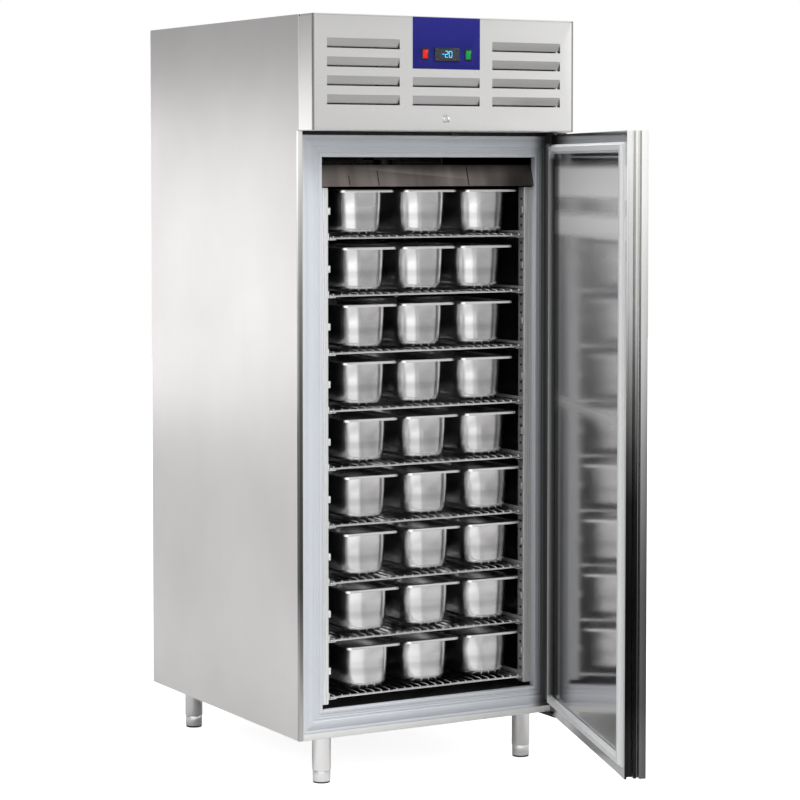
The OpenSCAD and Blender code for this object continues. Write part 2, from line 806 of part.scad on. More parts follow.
// A smooth tube along a path of corners: each corner is rounded by a quadratic curve
function lerp(a, b, t) = a + (b - a) * t;
function corner(a, b, c, n, bend) =
    let(p = b + bend * (a - b) / norm(a - b), q = b + bend * (c - b) / norm(c - b))
    [for (i = [0 : n]) lerp(lerp(p, b, i / n), lerp(b, q, i / n), i / n)];
function path(pts, n, bend) = [
    pts[0],
    for (i = [1 : len(pts) - 2]) each corner(pts[i - 1], pts[i], pts[i + 1], n, bend),
    pts[len(pts) - 1]];
function unit(v) = v / norm(v);
function heading(p, i) = unit(i == 0 ? p[1] - p[0]
    : i == len(p) - 1 ? p[i] - p[i - 1] : unit(p[i + 1] - p[i]) + unit(p[i] - p[i - 1]));
function square_to(v) = unit(cross(v, abs(v[2]) < 0.8 ? [0, 0, 1] : [1, 0.3, 0]));
function carried(side, v) = unit(side - v * (side * v));
function sides(p, i, s) = i == len(p) ? [] : let(t = carried(s, heading(p, i)))
    concat([t], sides(p, i + 1, t));

module tube(pts, r, n = 4, bend = 24, around = 8) {
    p = path(pts, n, bend);
    s = sides(p, 0, square_to(heading(p, 0)));
    last = len(p) - 1;
    rings = [for (i = [0 : last], a = [0 : around - 1])
        p[i] + r * (cos(a * 360 / around) * s[i]
            + sin(a * 360 / around) * cross(heading(p, i), s[i]))];
    polyhedron(rings, concat(
        [for (a = [1 : around - 2]) [0, a, a + 1]],
        [for (i = [0 : last - 1], a = [0 : around - 1], h = [0, 1])
            let(b = (a + 1) % around, o = i * around)
            h == 0 ? [o + a, o + around + a, o + around + b] : [o + a, o + around + b, o + b]],
        [for (a = [1 : around - 2]) [last * around, last * around + a + 1, last * around + a]]));
}

drier_r = 16;
drier_l = 110;
pipe_out = 60;
low_z = deck_z + pipe_up[0];
high_z = deck_z + pipe_up[1];
shell_z = [deck_z + stub_up[0], deck_z + stub_up[1]];
liquid_x = compressor_at[0] + compressor_r + line_in;

module refrigerant_pipes() {
    gap = slide_gap;
    shell_x = compressor_r + gap;
    comp = compressor_at;
    coil_top = coil_h + housing_low + sheet + 2;
    coil_end = [condenser_at[0] - condenser_size[0] / 2 - 2 - gap,
        condenser_at[1] + condenser_size[1] / 2];
    out_x = coil_end[0] - pipe_out;
    drier = [out_x, coil_end[1] + 2 * pipe_out, low_z];
    turn_y = drier[1] + drier_l + pipe_out;
    back_x = comp[0] - compressor_r - pipe_out;
    color([0.72, 0.45, 0.20]) {
        // Discharge line, from the compressor to the condenser
        tube([[comp[0] + shell_x, comp[1], shell_z[1]],
            [comp[0] + compressor_r + pipe_out, comp[1], shell_z[1]],
            [comp[0] + compressor_r + pipe_out, comp[1] - 2 * compressor_r, shell_z[1]],
            [out_x, comp[1] - 2 * compressor_r, high_z],
            [out_x, coil_end[1], high_z], [coil_end[0], coil_end[1], high_z]], pipe_r);
        // Liquid line, from the condenser through the drier to the evaporator
        tube([[coil_end[0], coil_end[1], low_z], [out_x, coil_end[1], low_z], drier], pipe_r);
        translate(drier) rotate([-90, 0, 0]) cylinder(r = drier_r, h = drier_l);
        tube([drier + [0, drier_l, 0], [out_x, turn_y, low_z], [liquid_x, turn_y, low_z],
            [liquid_x, port_y, low_z], [port_x[0], port_y, low_z],
            [port_x[0], port_y, coil_top + gap]], pipe_r);
        // Suction line, from the evaporator back to the compressor
        tube([[comp[0] - shell_x, comp[1], shell_z[0]], [back_x, comp[1], shell_z[0]],
            [back_x, port_y, shell_z[0]], [port_x[1], port_y, shell_z[0]],
            [port_x[1], port_y, coil_top + gap]], pipe_r);
    }
}

module electrical_box() {
    color([0.30, 0.31, 0.33])
        box([box_at[0], box_at[1], deck_z],
            [box_at[0] + box_size[0], box_at[1] + box_size[1], deck_z + box_size[2]]);
}

module cable_gland() {
    color([0.15, 0.15, 0.16]) difference() {
        translate([gland_at[0], back_y, gland_at[1]]) {
            along_y([0, -sheet - 8, 0], gland_r, sheet + 10);
            along_y([0, 0, 0], gland_r + 4, 6);
            along_y([0, 6, 0], gland_r + 1, gland_out - 6);
            along_y([0, -sheet - 6, 0], gland_r + 4, 6);
        }
        along_y([gland_at[0], back_y - 30, gland_at[1]], gland_bore_r, 60);
    }
}

// Legs
leg_places = [for (x = [-1, 1], y = [front_y + leg_front, back_y - leg_back])
    [x * (side_x - leg_side), y, 0]];
thread_gap = run;

module leg_tubes() {
    color([0.70, 0.70, 0.70]) for (p = leg_places) translate(p) {
        difference() {
            union() {
                translate([0, 0, foot_h]) cylinder(r = leg_r, h = floor_gap - foot_h);
                translate([0, 0, floor_gap - leg_plate_t])
                    cylinder(r = leg_plate_r, h = leg_plate_t);
            }
            translate([0, 0, foot_h + leg_plug])
                cylinder(r = leg_r - leg_wall, h = floor_gap - leg_plate_t - foot_h - leg_plug);
            translate([0, 0, foot_h - 1]) cylinder(r = stem_r + thread_gap, h = leg_plug + 2);
        }
    }
}

module levelling_feet() {
    pad_h = 5;
    color([0.66, 0.66, 0.66]) for (p = leg_places) translate(p) {
        cylinder(r = foot_r - 1, h = pad_h);
        translate([0, 0, pad_h]) cylinder(r = foot_r, h = foot_h - pad_h - 0.5);
        translate([0, 0, foot_h - 1]) cylinder(r = stem_r, h = leg_plug + 20);
    }
}

// Header
function louvre_top(row) = total_h - louvre_down - row * louvre_pitch;

// Where each louvre stands: its left end, its width and its row
louvres = [
    for (row = [0 : 3]) each [[-louvre_in - louvre_w, louvre_w, row], [louvre_in, louvre_w, row]],
    for (row = [2, 3]) [-plate_w / 2, plate_w, row]];

module louvre_blade(w) {
    drop = louvre_h - louvre_slit;
    rotate([90, 0, 90]) linear_extrude(w)
        polygon([[0, 0.5], [sheet, 0.5], [sheet, 0], [louvre_press, -drop],
            [louvre_press - sheet, -drop - 0.5], [0, -0.5]]);
}

module header_panel() {
    color([0.83, 0.82, 0.81]) difference() {
        union() {
            difference() {
                wide_box(side_x, [header_front, deck_z], [header_rear, total_h]);
                wide_box(side_x - sheet, [header_front + sheet, deck_z + sheet],
                    [header_rear + 1, total_h - sheet]);
                for (l = louvres)
                    translate([l[0], header_front - 1, louvre_top(l[2]) - louvre_h])
                        cube([l[1], sheet + 2, louvre_h]);
                for (s = [0, 1]) mirror([s, 0, 0])
                    box([side_x - 18, tilt[0] - 12, total_h - 2 * sheet],
                        [side_x - sheet, header_rear + 1, total_h + 1]);
            }
            for (l = louvres)
                translate([l[0], header_front, louvre_top(l[2])]) louvre_blade(l[1]);
        }
        cut_controls(header_front - 1, header_front + 2 * sheet);
        along_y([0, header_front - 1, lock_z], lock_body_r + run, 4);
        translate([0, tilt[0], tilt[1]]) rotate([0, 90, 0])
            cylinder(r = tilt_pin_r + run, h = body_w + 10, center = true);
        cam_slot(deck_z - 1, deck_z + 2 * sheet);
    }
}

// The slot that the cam swings through, from its upright end to where it enters at a slant
module cam_slot(z0, z1) {
    box([-cam_w / 2 - cam_gap, cam_y - cam_gap, z0],
        [sqrt(cam_l * cam_l - lock_up * lock_up) + cam_w, cam_y + cam_t + cam_gap, z1]);
}

// Openings for the switches and the thermostat
module cut_controls(y0, y1) {
    for (s = [-1, 1])
        box([s * switch_x - bezel_hole[0] / 2, y0, controls_z - bezel_hole[1] / 2],
            [s * switch_x + bezel_hole[0] / 2, y1, controls_z + bezel_hole[1] / 2]);
    box([-display_hole[0] / 2, y0, controls_z - display_hole[1] / 2],
        [display_hole[0] / 2, y1, controls_z + display_hole[1] / 2]);
}

module control_plate() {
    top = total_h - plate_down;
    color([0.17, 0.17, 0.49]) difference() {
        wide_box(plate_w / 2, [plate_front, top - plate_h], [header_front, top]);
        cut_controls(plate_front - 1, header_front + 1);
    }
}

module switch_bezel() {
    well = rocker_well;
    difference() {
        union() {
            box([-bezel_size[0] / 2, plate_front - bezel_t, -bezel_size[1] / 2],
                [bezel_size[0] / 2, plate_front, bezel_size[1] / 2]);
            box([-bezel_hole[0] / 2 + run, plate_front, -bezel_hole[1] / 2 + run],
                [bezel_hole[0] / 2 - run, plate_front + switch_d, bezel_hole[1] / 2 - run]);
        }
        box([-well[0] / 2, plate_front - bezel_t - 1, -well[1] / 2],
            [well[0] / 2, rocker_y + 6, well[1] / 2]);
        translate([0, rocker_y, 0]) rotate([0, 90, 0])
            cylinder(r = 1 + run, h = well[0] + 3, center = true);
    }
}

module switch_bezels() {
    color([0.10, 0.10, 0.10])
        for (s = [-1, 1]) translate([s * switch_x, 0, controls_z]) switch_bezel();
}

// A rocker, pressed in at its lower half
module rocker() {
    h = rocker_size[1] / 2;
    translate([0, rocker_y, controls_z]) rotate([rocker_deg, 0, 0]) {
        rotate([90, 0, 90]) linear_extrude(rocker_size[0], center = true)
            polygon([[-5.5, h], [-4, 0], [-5.5, -h], [-1, -h], [3.5, -4], [3.5, 4], [-1, h]]);
        rotate([0, 90, 0]) cylinder(r = 1, h = rocker_well[0] + 2, center = true);
    }
}

module power_switch() {
    color([0.92, 0.11, 0.14]) translate([-switch_x, 0, 0]) rocker();
}

module light_switch() {
    color([0.00, 0.60, 0.30]) translate([switch_x, 0, 0]) rocker();
}

display_front = plate_front - display_t;

module thermostat() {
    pocket = key_size + 2 * [key_gap, key_gap];
    color([0.07, 0.08, 0.10]) difference() {
        union() {
            box([-display_size[0] / 2, display_front, controls_z - display_size[1] / 2],
                [display_size[0] / 2, plate_front, controls_z + display_size[1] / 2]);
            box([-display_hole[0] / 2 + run, plate_front, controls_z - display_hole[1] / 2 + run],
                [display_hole[0] / 2 - run, plate_front + display_d,
                    controls_z + display_hole[1] / 2 - run]);
        }
        for (s = [-1, 1], t = [-1, 1])
            translate([s * key_at[0], display_front, controls_z + t * key_at[1]])
                cube([pocket[0], 2 * (2 + key_travel), pocket[1]], center = true);
    }
}

module push_key(s, t) {
    color([0.55, 0.57, 0.60])
        translate([s * key_at[0] - key_size[0] / 2, display_front - key_proud,
            controls_z + t * key_at[1] - key_size[1] / 2])
            cube([key_size[0], key_proud + 2 - 0.1, key_size[1]]);
}

module key_up() { push_key(-1, 1); }
module key_down() { push_key(-1, -1); }
module key_set() { push_key(1, 1); }
module key_defrost() { push_key(1, -1); }

// Lock
module lock_housing() {
    color([0.75, 0.75, 0.76]) difference() {
        union() {
            along_y([0, header_front - 2.5, lock_z], lock_collar_r, 2.5);
            along_y([0, header_front - 1, lock_z], lock_body_r, lock_d + 1 - 0.3);
        }
        along_y([0, header_front - 5, lock_z], plug_r + run, lock_d + 10);
    }
}

module lock_barrel() {
    color([0.88, 0.88, 0.88]) {
        difference() {
            along_y([0, header_front - 3, lock_z], plug_r, lock_d + 3);
            box([-0.8, header_front - 4, lock_z - 3.5], [0.8, header_front + 8, lock_z + 3.5]);
        }
        box([-cam_w / 2, cam_y, lock_z - cam_w / 2], [cam_l, cam_y + cam_t, lock_z + cam_w / 2]);
    }
}

// Door, drawn closed and then turned open about its hinge
module opened() {
    translate([hinge[0], hinge[1], 0]) rotate([0, 0, open_deg])
        translate([-hinge[0], -hinge[1], 0]) children();
}

// The door's outline from above, drawn in by t on all sides but the back
module door_outline(t) {
    grip_y = door_in - grip_edge;
    left = -side_x + t;
    polygon([[left, door_out + t], [side_x - t, door_out + t], [side_x - t, door_in],
        [left, door_in], [left, grip_y + t], [-side_x + grip_d + t, grip_y + t],
        [-side_x + grip_d + t, grip_y - grip_w - t], [left, grip_y - grip_w - t]]);
}

module door_bush_space(z0, h, r) {
    translate([hinge[0], hinge[1], z0]) cylinder(r = r, h = h);
}

module door_pockets() {
    door_bush_space(door_low - 1, bush_l + 1, bush_r);
    door_bush_space(door_high - bush_l, bush_l + 1, bush_r);
    cam_slot(deck_z - cam_reach, door_high + 1);
}

module door_skin() {
    color([0.74, 0.73, 0.72]) opened() difference() {
        translate([0, 0, door_low]) linear_extrude(door_high - door_low) door_outline(0);
        translate([0, 0, door_low + sheet]) linear_extrude(door_high - door_low - 2 * sheet)
            door_outline(sheet);
        door_pockets();
    }
}

module door_foam() {
    color([0.93, 0.87, 0.66]) opened() difference() {
        intersection() {
            translate([0, 0, door_low + sheet]) linear_extrude(door_high - door_low - 2 * sheet)
                door_outline(sheet);
            wide_box(side_x, [door_out, door_low], [door_in - sheet, door_high]);
        }
        door_pockets();
    }
}

module door_liner() {
    color([0.82, 0.82, 0.83]) opened() wide_box(side_x - sheet,
        [door_in - sheet, door_low + sheet], [door_in, door_high - sheet]);
}

module gasket_ring(inset, w, y0, y1) {
    x = side_x - gasket_side - inset;
    z0 = door_low + gasket_end + inset;
    z1 = door_high - gasket_end - inset;
    difference() {
        wide_box(x, [y0, z0], [y1, z1]);
        wide_box(x - w, [y0 - 1, z0 + w], [y1 + 1, z1 - w]);
    }
}

module door_gasket() {
    heel = 4;
    bead = 5;
    color([0.82, 0.83, 0.84]) opened() {
        gasket_ring(0, gasket_w, door_in, door_in + heel);
        gasket_ring(bead, gasket_w - 2 * bead, door_in + heel, door_in + gasket_t);
    }
}

module hinge_bushes() {
    color([0.90, 0.90, 0.88]) opened()
        for (z = [door_low, door_high - bush_l]) difference() {
            door_bush_space(z, bush_l, bush_r);
            door_bush_space(z - 1, bush_l + 2, pin_r + run);
        }
}

left_side_panel();
right_side_panel();
back_panel();
base_panel();
unit_deck();
top_cover();
insulation_foam();
inner_liner();
door_frame();
evaporator_cover();
evaporator_coil();
evaporator_fan_motor();
evaporator_fan();
rack_uprights();
shelf_runners();
hinge_brackets();
compressor();
condenser_coil();
condenser_fan_motor();
condenser_fan();
refrigerant_pipes();
electrical_box();
cable_gland();
leg_tubes();
levelling_feet();
for (k = [1 : shelf_count]) {
    wire_shelf(k);
    pans(k);
}
header_panel();
control_plate();
thermostat();
switch_bezels();
power_switch();
light_switch();
lock_housing();
lock_barrel();
door_skin();
door_liner();
door_foam();
door_gasket();
hinge_bushes();
key_up();
key_down();
key_set();
key_defrost();
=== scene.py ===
# %% [markdown]
# # A tall freezer for ice cream pans
# The cabinet is folded from stainless sheet. Its open door shows nine wire shelves, each
# with six polished pans, and a louvred header hides the cooling unit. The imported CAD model
# gives every place and size, and this script gives each piece its edges, fine parts and
# finish.

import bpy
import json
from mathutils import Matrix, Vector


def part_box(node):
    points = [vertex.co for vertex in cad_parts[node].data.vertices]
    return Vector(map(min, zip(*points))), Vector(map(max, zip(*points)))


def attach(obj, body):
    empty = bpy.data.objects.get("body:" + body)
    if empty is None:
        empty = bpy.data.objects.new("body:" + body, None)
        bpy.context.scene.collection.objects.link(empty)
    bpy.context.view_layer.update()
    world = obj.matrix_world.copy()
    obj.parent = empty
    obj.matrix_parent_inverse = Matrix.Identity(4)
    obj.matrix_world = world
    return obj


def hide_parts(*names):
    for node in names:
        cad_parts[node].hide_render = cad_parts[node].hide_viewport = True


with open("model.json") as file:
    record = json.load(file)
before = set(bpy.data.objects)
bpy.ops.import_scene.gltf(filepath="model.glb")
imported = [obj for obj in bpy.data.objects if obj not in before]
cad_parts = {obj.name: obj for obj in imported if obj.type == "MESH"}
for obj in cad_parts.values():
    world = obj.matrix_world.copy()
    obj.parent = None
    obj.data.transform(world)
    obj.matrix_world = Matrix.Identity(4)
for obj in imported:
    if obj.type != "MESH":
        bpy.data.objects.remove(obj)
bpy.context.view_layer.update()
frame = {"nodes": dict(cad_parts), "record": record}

# %% [markdown]
# Lengths are easiest to read in millimetres, so a value in this script is written as
# `12 * MM`. `place` gives the corners of a CAD node's box, from which every later piece
# takes its size.

# %% Units and imports
import json
import math

import bmesh
import bpy
from mathutils import Matrix, Vector

MM = 0.001


def place(node):
    """The low and the high corner of a CAD node's box."""
    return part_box(node)


# %% [markdown]
# Before any piece is made, the camera goes where the photographer stood. Its place, turn
# and focal length were found from the corners of the cabinet. The lens is long, so upright
# edges stay nearly parallel. A small shift lets the camera stay almost level while the
# cabinet fills the frame.

# %% Camera
CAMERA_AT = (-3513.8 * MM, -6465.0 * MM, 1630.0 * MM)
CAMERA_TURN = -0.5178
CAMERA_TILT = -0.0506
LENS = 116.8
SENSOR = 36
SHIFT_Y = -0.125
FARTHEST = 60


def added(name, data):
    """A new object in the scene."""
    thing = bpy.data.objects.new(name, data)
    bpy.context.scene.collection.objects.link(thing)
    return thing


camera = added("camera", bpy.data.cameras.new("camera"))
camera.location = CAMERA_AT
camera.rotation_euler = (math.pi / 2 + CAMERA_TILT, 0, CAMERA_TURN)
camera.data.lens = LENS
camera.data.sensor_width = SENSOR
camera.data.shift_y = SHIFT_Y
camera.data.clip_end = FARTHEST
bpy.context.scene.camera = camera
bpy.context.scene.view_settings.view_transform = "Standard"
print("camera", round(Vector(CAMERA_AT).length, 2), "m from the middle of the footprint")

# %% [markdown]
# A material is a small graph of nodes. The next helpers make such a graph short to write:
# `finish_of` starts one with a Principled shader, and `Graph` adds nodes and wires them.
# Patterns read Object coordinates. Each piece's object sits at the origin, so these are
# metres in the freezer's own frame, and one grain runs on from panel to panel.


# %% Node helpers
class Graph:
    """A node tree with short calls to add and join nodes."""

    def __init__(self, tree):
        self.tree = tree
        self.nodes = tree.nodes
        self.nodes.clear()

    def feed(self, socket, value):
        """Joins an input to another node's output, or gives it a plain value."""
        if isinstance(value, bpy.types.NodeSocket):
            self.tree.links.new(value, socket)
        else:
            socket.default_value = value

    def add(self, kind, values=None, **settings):
        node = self.nodes.new(kind)
        for name, value in settings.items():
            setattr(node, name, value)
        for key, value in (values or {}).items():
            self.feed(node.inputs[key], value)
        return node

    def math(self, operation, *values, clamp=False):
        node = self.add("ShaderNodeMath", operation=operation, use_clamp=clamp)
        for socket, value in zip(node.inputs, values):
            self.feed(socket, value)
        return node.outputs[0]

    def vector(self, operation, *values):
        """Vector maths: gives a number for a dot product or a length, else a vector."""
        node = self.add("ShaderNodeVectorMath", dict(enumerate(values)), operation=operation)
        return node.outputs["Value" if operation in ("DOT_PRODUCT", "LENGTH") else "Vector"]

    def ramp(self, factor, stops):
        """A colour ramp from (place, colour) pairs; a colour may be one grey value."""
        node = self.add("ShaderNodeValToRGB", {"Fac": factor})
        elements = node.color_ramp.elements
        while len(elements) < len(stops):
            elements.new(0.5)
        for element, (at, colour) in zip(elements, stops):
            element.position = at
            grey = isinstance(colour, (int, float))
            element.color = (colour,) * 3 + (1,) if grey else tuple(colour) + (1,)
        return node.outputs["Color"]

    def mix(self, factor, a, b, blend="MIX"):
        node = self.add("ShaderNodeMix", data_type="RGBA", blend_type=blend)
        self.feed(node.inputs[0], factor)
        for key, value in ((6, a), (7, b)):
            plain = not isinstance(value, bpy.types.NodeSocket)
            self.feed(node.inputs[key], tuple(value) + (1,) if plain else value)
        return node.outputs[2]

    def times(self, colour, shade):
        """A colour darkened by a shade."""
        return self.mix(1.0, colour, shade, "MULTIPLY")

    def coordinates(self, scale=(1, 1, 1)):
        source = self.add("ShaderNodeTexCoord").outputs["Object"]
        return self.add("ShaderNodeMapping", {"Vector": source, "Scale": scale}).outputs["Vector"]

    def noise(self, scale, detail, rough, vector=None):
        values = {"Scale": scale, "Detail": detail, "Roughness": rough}
        values["Vector"] = vector or self.coordinates()
        return self.add("ShaderNodeTexNoise", values).outputs["Fac"]

    def wavering(self, factor, middle, spread):
        """A value that a noise moves up and down round a middle."""
        return self.math("MULTIPLY_ADD", factor, spread, middle - spread / 2)

    def bump(self, height, strength, distance):
        node = self.add("ShaderNodeBump", {"Height": height, "Strength": strength,
                                           "Distance": distance})
        return node.outputs["Normal"]


def finish_of(name, **sockets):
    """A new material: returns it, its graph and its Principled shader."""
    material = bpy.data.materials.new(name)
    material.use_nodes = True
    graph = Graph(material.node_tree)
    shader = graph.add("ShaderNodeBsdfPrincipled",
                       {key.replace("_", " "): value for key, value in sockets.items()})
    graph.add("ShaderNodeOutputMaterial", {"Surface": shader.outputs[0]})
    return material, graph, shader


def wire(graph, shader, **links):
    """Joins outputs to a shader's inputs, named with _ for each space."""
    for key, socket in links.items():
        graph.feed(shader.inputs[key.replace("_", " ")], socket)


def shades(colour, share):
    """The colour darker and lighter by a share of itself."""
    return [c * (1 - share) for c in colour], [min(1, c * (1 + share)) for c in colour]


# %% [markdown]
# Brushed stainless steel has fine parallel scratches. They spread a reflection across the
# grain and hardly along it. Here a noise is drawn out along the grain. It changes the
# roughness a little and lifts a tiny bump. A second, wide noise gives the faint clouds
# that rolled sheet shows. One function makes each kind: the sides are brushed upright, the
# header along its length. Where a part lies in the shade of another, such as the narrow
# edge of a side sheet, a list of places darkens its tone with painted shade: `by_place`
# reads it. The door's free edge gets painted shade and a painted reflection of the dark
# floor in front of it, so it falls off towards its foot. The rack takes painted shade
# towards the right, where the open door shades it.


# %% Brushed steel
LOWEST, SHARE = -1.25, 0.3
SCRATCHES = {"x": (4, 900, 900), "z": (900, 900, 4)}
QUARTER_TURN = 0.25


def by_place(g, axis, stops):
    """A grey value from (metres along an axis, value) pairs, over 3.3 metres from LOWEST."""
    at = g.add("ShaderNodeSeparateXYZ", {0: g.coordinates()}).outputs[axis]
    factor = g.math("MULTIPLY", g.math("ADD", at, -LOWEST), SHARE)
    return g.ramp(factor, [((where - LOWEST) * SHARE, value) for where, value in stops])


def brushed(name, colour, rough, along, clouds=0.05, fine=0.06, axis="Z", shade=(), metal=1.0):
    """Steel brushed along x or z; clouds and fine say how far its tone wavers."""
    material, g, shader = finish_of(name, Metallic=metal, Anisotropic=0.6,
                                    Anisotropic_Rotation=0.0 if along == "z" else QUARTER_TURN)
    scratches = g.noise(1.0, 4, 0.7, g.coordinates(SCRATCHES[along]))
    cloud = g.noise(2.2, 3, 0.55)
    tone = g.mix(g.ramp(cloud, [(0.3, 0.0), (0.7, 1.0)]), *shades(colour, clouds))
    # Painted shade: a list of places darkens the tone.
    if shade:
        tone = g.times(tone, by_place(g, axis, shade))
    grain = g.ramp(scratches, [(0.3, 1 - fine), (0.7, 1.0)])
    wire(g, shader, Base_Color=g.times(tone, grain),
         Roughness=g.wavering(scratches, rough, 0.16),
         Normal=g.bump(scratches, 0.12, 0.05 * MM))
    return material


side_steel = brushed("side_steel", (0.80, 0.785, 0.78), 0.40, "z")
header_steel = brushed("header_steel", (1.0, 0.99, 0.975), 0.36, "x", 0.015, 0.03)
# Painted shade: the header's ends take a darker copy of its steel.
shaded_end_steel = brushed("shaded_end_steel", (0.84, 0.83, 0.82), 0.40, "x", 0.015, 0.03)
door_steel = brushed("door_steel", (0.72, 0.71, 0.70), 0.26, "z")
# Painted shade: the louvre blades take a darker copy of the header's steel.
shaded_blade_steel = brushed("shaded_blade_steel", (0.72, 0.71, 0.70), 0.36, "x", 0.015, 0.03)
# Painted shade by height on the narrow front edges of the side sheets.
EDGE_SHADE = [(0.125, 0.55), (0.28, 0.55), (0.535, 0.13), (0.79, 0.15), (1.045, 0.22),
              (1.30, 0.38), (1.655, 1.0)]
edge_steel = brushed("edge_steel", (0.84, 0.83, 0.82), 0.16, "z", shade=EDGE_SHADE)
# Painted shade and a painted reflection of the dark floor on the door's grip and the rib's lip.
GRIP_SHADE = [(0.19, 0.03), (0.31, 0.01), (0.56, 0.006), (0.808, 0.014), (0.932, 0.06),
              (1.056, 0.17), (1.18, 0.35), (1.304, 0.57), (1.552, 0.81), (1.676, 1.0)]
LIP_SHADE = [(0.19, 0.20), (0.31, 0.12), (0.56, 0.11), (0.684, 0.14), (0.808, 0.20),
             (0.932, 0.28), (1.056, 0.42), (1.18, 0.55), (1.304, 0.65), (1.428, 0.78),
             (1.552, 0.92), (1.676, 1.0)]
grip_steel = brushed("grip_steel", (0.93, 0.93, 0.92), 0.26, "z", shade=GRIP_SHADE)
lip_steel = brushed("lip_steel", (0.95, 0.95, 0.94), 0.26, "z", shade=LIP_SHADE)
# Painted shade: the rack darkens towards the right, where the open door shades it.
rack_steel = brushed("rack_steel", (1.0, 1.0, 1.0), 0.28, "z", axis="X",
                     shade=[(-0.30, 1.0), (0.30, 0.5)], metal=0.55)
leg_steel = brushed("leg_steel", (0.80, 0.79, 0.785), 0.22, "z")
# Painted shade: a dark steel stands for the header's folds.
shaded_fold_steel = brushed("shaded_fold_steel", (0.30, 0.29, 0.28), 0.25, "z")
print("steels:", side_steel.name, header_steel.name, door_steel.name)

# %% [markdown]
# The cavity is lined with a plain stainless sheet that hardly any light reaches, and its
# tone is painted nearly black as well: painted shade behind the pans. The door's liner is
# the same sheet, polished, and mirrors the shelves. A list of heights can pale such a sheet
# with a painted reflection: near its top the liner stands close to the pale frame, and
# white bands, less metallic and rougher, paint that frame's reflection. Beside the hinge the
# liner takes painted shade. The evaporator cover is brownish and darkens upwards with
# painted shade under the cavity's roof, and towards its right.


# %% Sheet inside the cavity and on the door
REFLECTION_WHITE = (0.97, 0.96, 0.97)


def polished(name, colour, rough, ripple=0.3, size=9.0, pale=(), shade=(), deep=(),
             heights=()):
    """Smooth metal whose reflections waver a little, as on thin pressed sheet.

    The lists of stops paint light: pale, a painted reflection, and shade, painted shade, go by z;
    deep, painted shade, by y; heights, a painted highlight and reflection, by a share of a pan.
    """
    material, g, shader = finish_of(name, Metallic=1.0)
    wave = g.noise(size, 2, 0.4)
    smear = g.noise(3.0, 4, 0.6)
    roughness = g.wavering(smear, rough, 0.10)
    tone = g.mix(smear, shades(colour, 0.06)[0], colour)
    # Painted shade: darker upwards by the stops and towards the right, with random streaks.
    if shade:
        streaks = g.noise(1.0, 2, 0.5, g.coordinates((14, 1, 0.5)))
        for dimmer in (by_place(g, "Z", shade), g.ramp(streaks, [(0.35, 0.72), (0.65, 1.3)]),
                       by_place(g, "X", [(-0.1, 1.0), (0.3, 0.5)])):
            tone = g.times(tone, dimmer)
    # Painted highlight and reflection by a share of a pan's height.
    if heights:
        tall = g.add("ShaderNodeAttribute", attribute_name="height").outputs["Fac"]
        tone = g.times(tone, g.ramp(tall, heights))
    # Painted reflection: pale bands by height, less metallic and rougher.
    if pale:
        painted_reflection = by_place(g, "Z", pale)
        tone = g.mix(painted_reflection, tone, REFLECTION_WHITE)
        roughness = g.math("ADD", roughness, g.math("MULTIPLY", painted_reflection, 0.3))
        wire(g, shader, Metallic=g.math("SUBTRACT", 1.0, painted_reflection))
    # Painted shade along y.
    if deep:
        tone = g.times(tone, by_place(g, "Y", deep))
    wire(g, shader, Base_Color=tone, Roughness=roughness, Normal=g.bump(wave, ripple, 2 * MM))
    return material


# Painted shade: the cavity's sheet is given a nearly black tone.
shaded_cavity_sheet = polished("shaded_cavity_sheet", (0.20, 0.20, 0.20), 0.38)
# Painted reflection: pale bands on the door's liner by height.
LINER_PAINTED_REFLECTION = [(0.20, 0.03), (0.80, 0.10), (0.97, 0.15), (1.00, 0.50), (1.03, 0.22),
              (1.30, 0.30), (1.448, 0.38), (1.46, 0.95), (1.505, 1.0), (1.516, 0.40),
              (1.548, 0.40), (1.558, 1.0), (1.632, 1.0), (1.644, 0.05)]
# Painted shade: the cover darkens upwards under the cavity's roof.
COVER_SHADE = [(1.583, 1.0), (1.604, 0.95), (1.618, 0.7), (1.63, 0.38), (1.64, 0.12)]
# Painted shade: the liner darkens beside the hinge.
LINER_HINGE_SHADE = [(-0.565, 1.0), (-0.545, 0.5), (-0.530, 0.1)]
# Painted highlight on the pans' rims and a painted reflection of the next shelf round their
# walls.
PAN_PAINTED_LIGHT = [(0.0, 0.80), (0.28, 0.79), (0.36, 0.67), (0.44, 0.64), (0.52, 0.78), (0.64, 0.84),
            (0.935, 0.88), (0.945, 1.0)]
door_sheet = polished("door_sheet", (0.70, 0.69, 0.69), 0.09, 0.10, 5.0, LINER_PAINTED_REFLECTION,
                      deep=LINER_HINGE_SHADE)
cover_sheet = polished("cover_sheet", (0.42, 0.37, 0.345), 0.30, 0.1, 7.0, shade=COVER_SHADE)
pan_steel = polished("pan_steel", (1.0, 0.995, 1.0), 0.22, 0.05, 24.0, heights=PAN_PAINTED_LIGHT)
wire_steel = polished("wire_steel", (0.88, 0.88, 0.88), 0.16, 0.1, 60.0)
lock_chrome = polished("lock_chrome", (0.88, 0.88, 0.88), 0.12, 0.1, 80.0)
print("sheets:", shaded_cavity_sheet.name, door_sheet.name, cover_sheet.name, pan_steel.name)

# %% [markdown]
# Galvanised sheet has a spangle of zinc crystals, which Voronoi cells draw well. The
# sheets that nobody sees from the front are made of it.


# %% Galvanised sheet
def galvanised(name, colour):
    material, g, shader = finish_of(name, Metallic=1.0)
    cells = g.add("ShaderNodeTexVoronoi", {"Scale": 90.0, "Vector": g.coordinates()})
    spangle = g.ramp(cells.outputs["Color"], [(0.2, 0.78), (0.8, 1.0)])
    wire(g, shader, Base_Color=g.times(colour, spangle),
         Roughness=g.math("MULTIPLY_ADD", cells.outputs["Distance"], 0.2, 0.38))
    return material


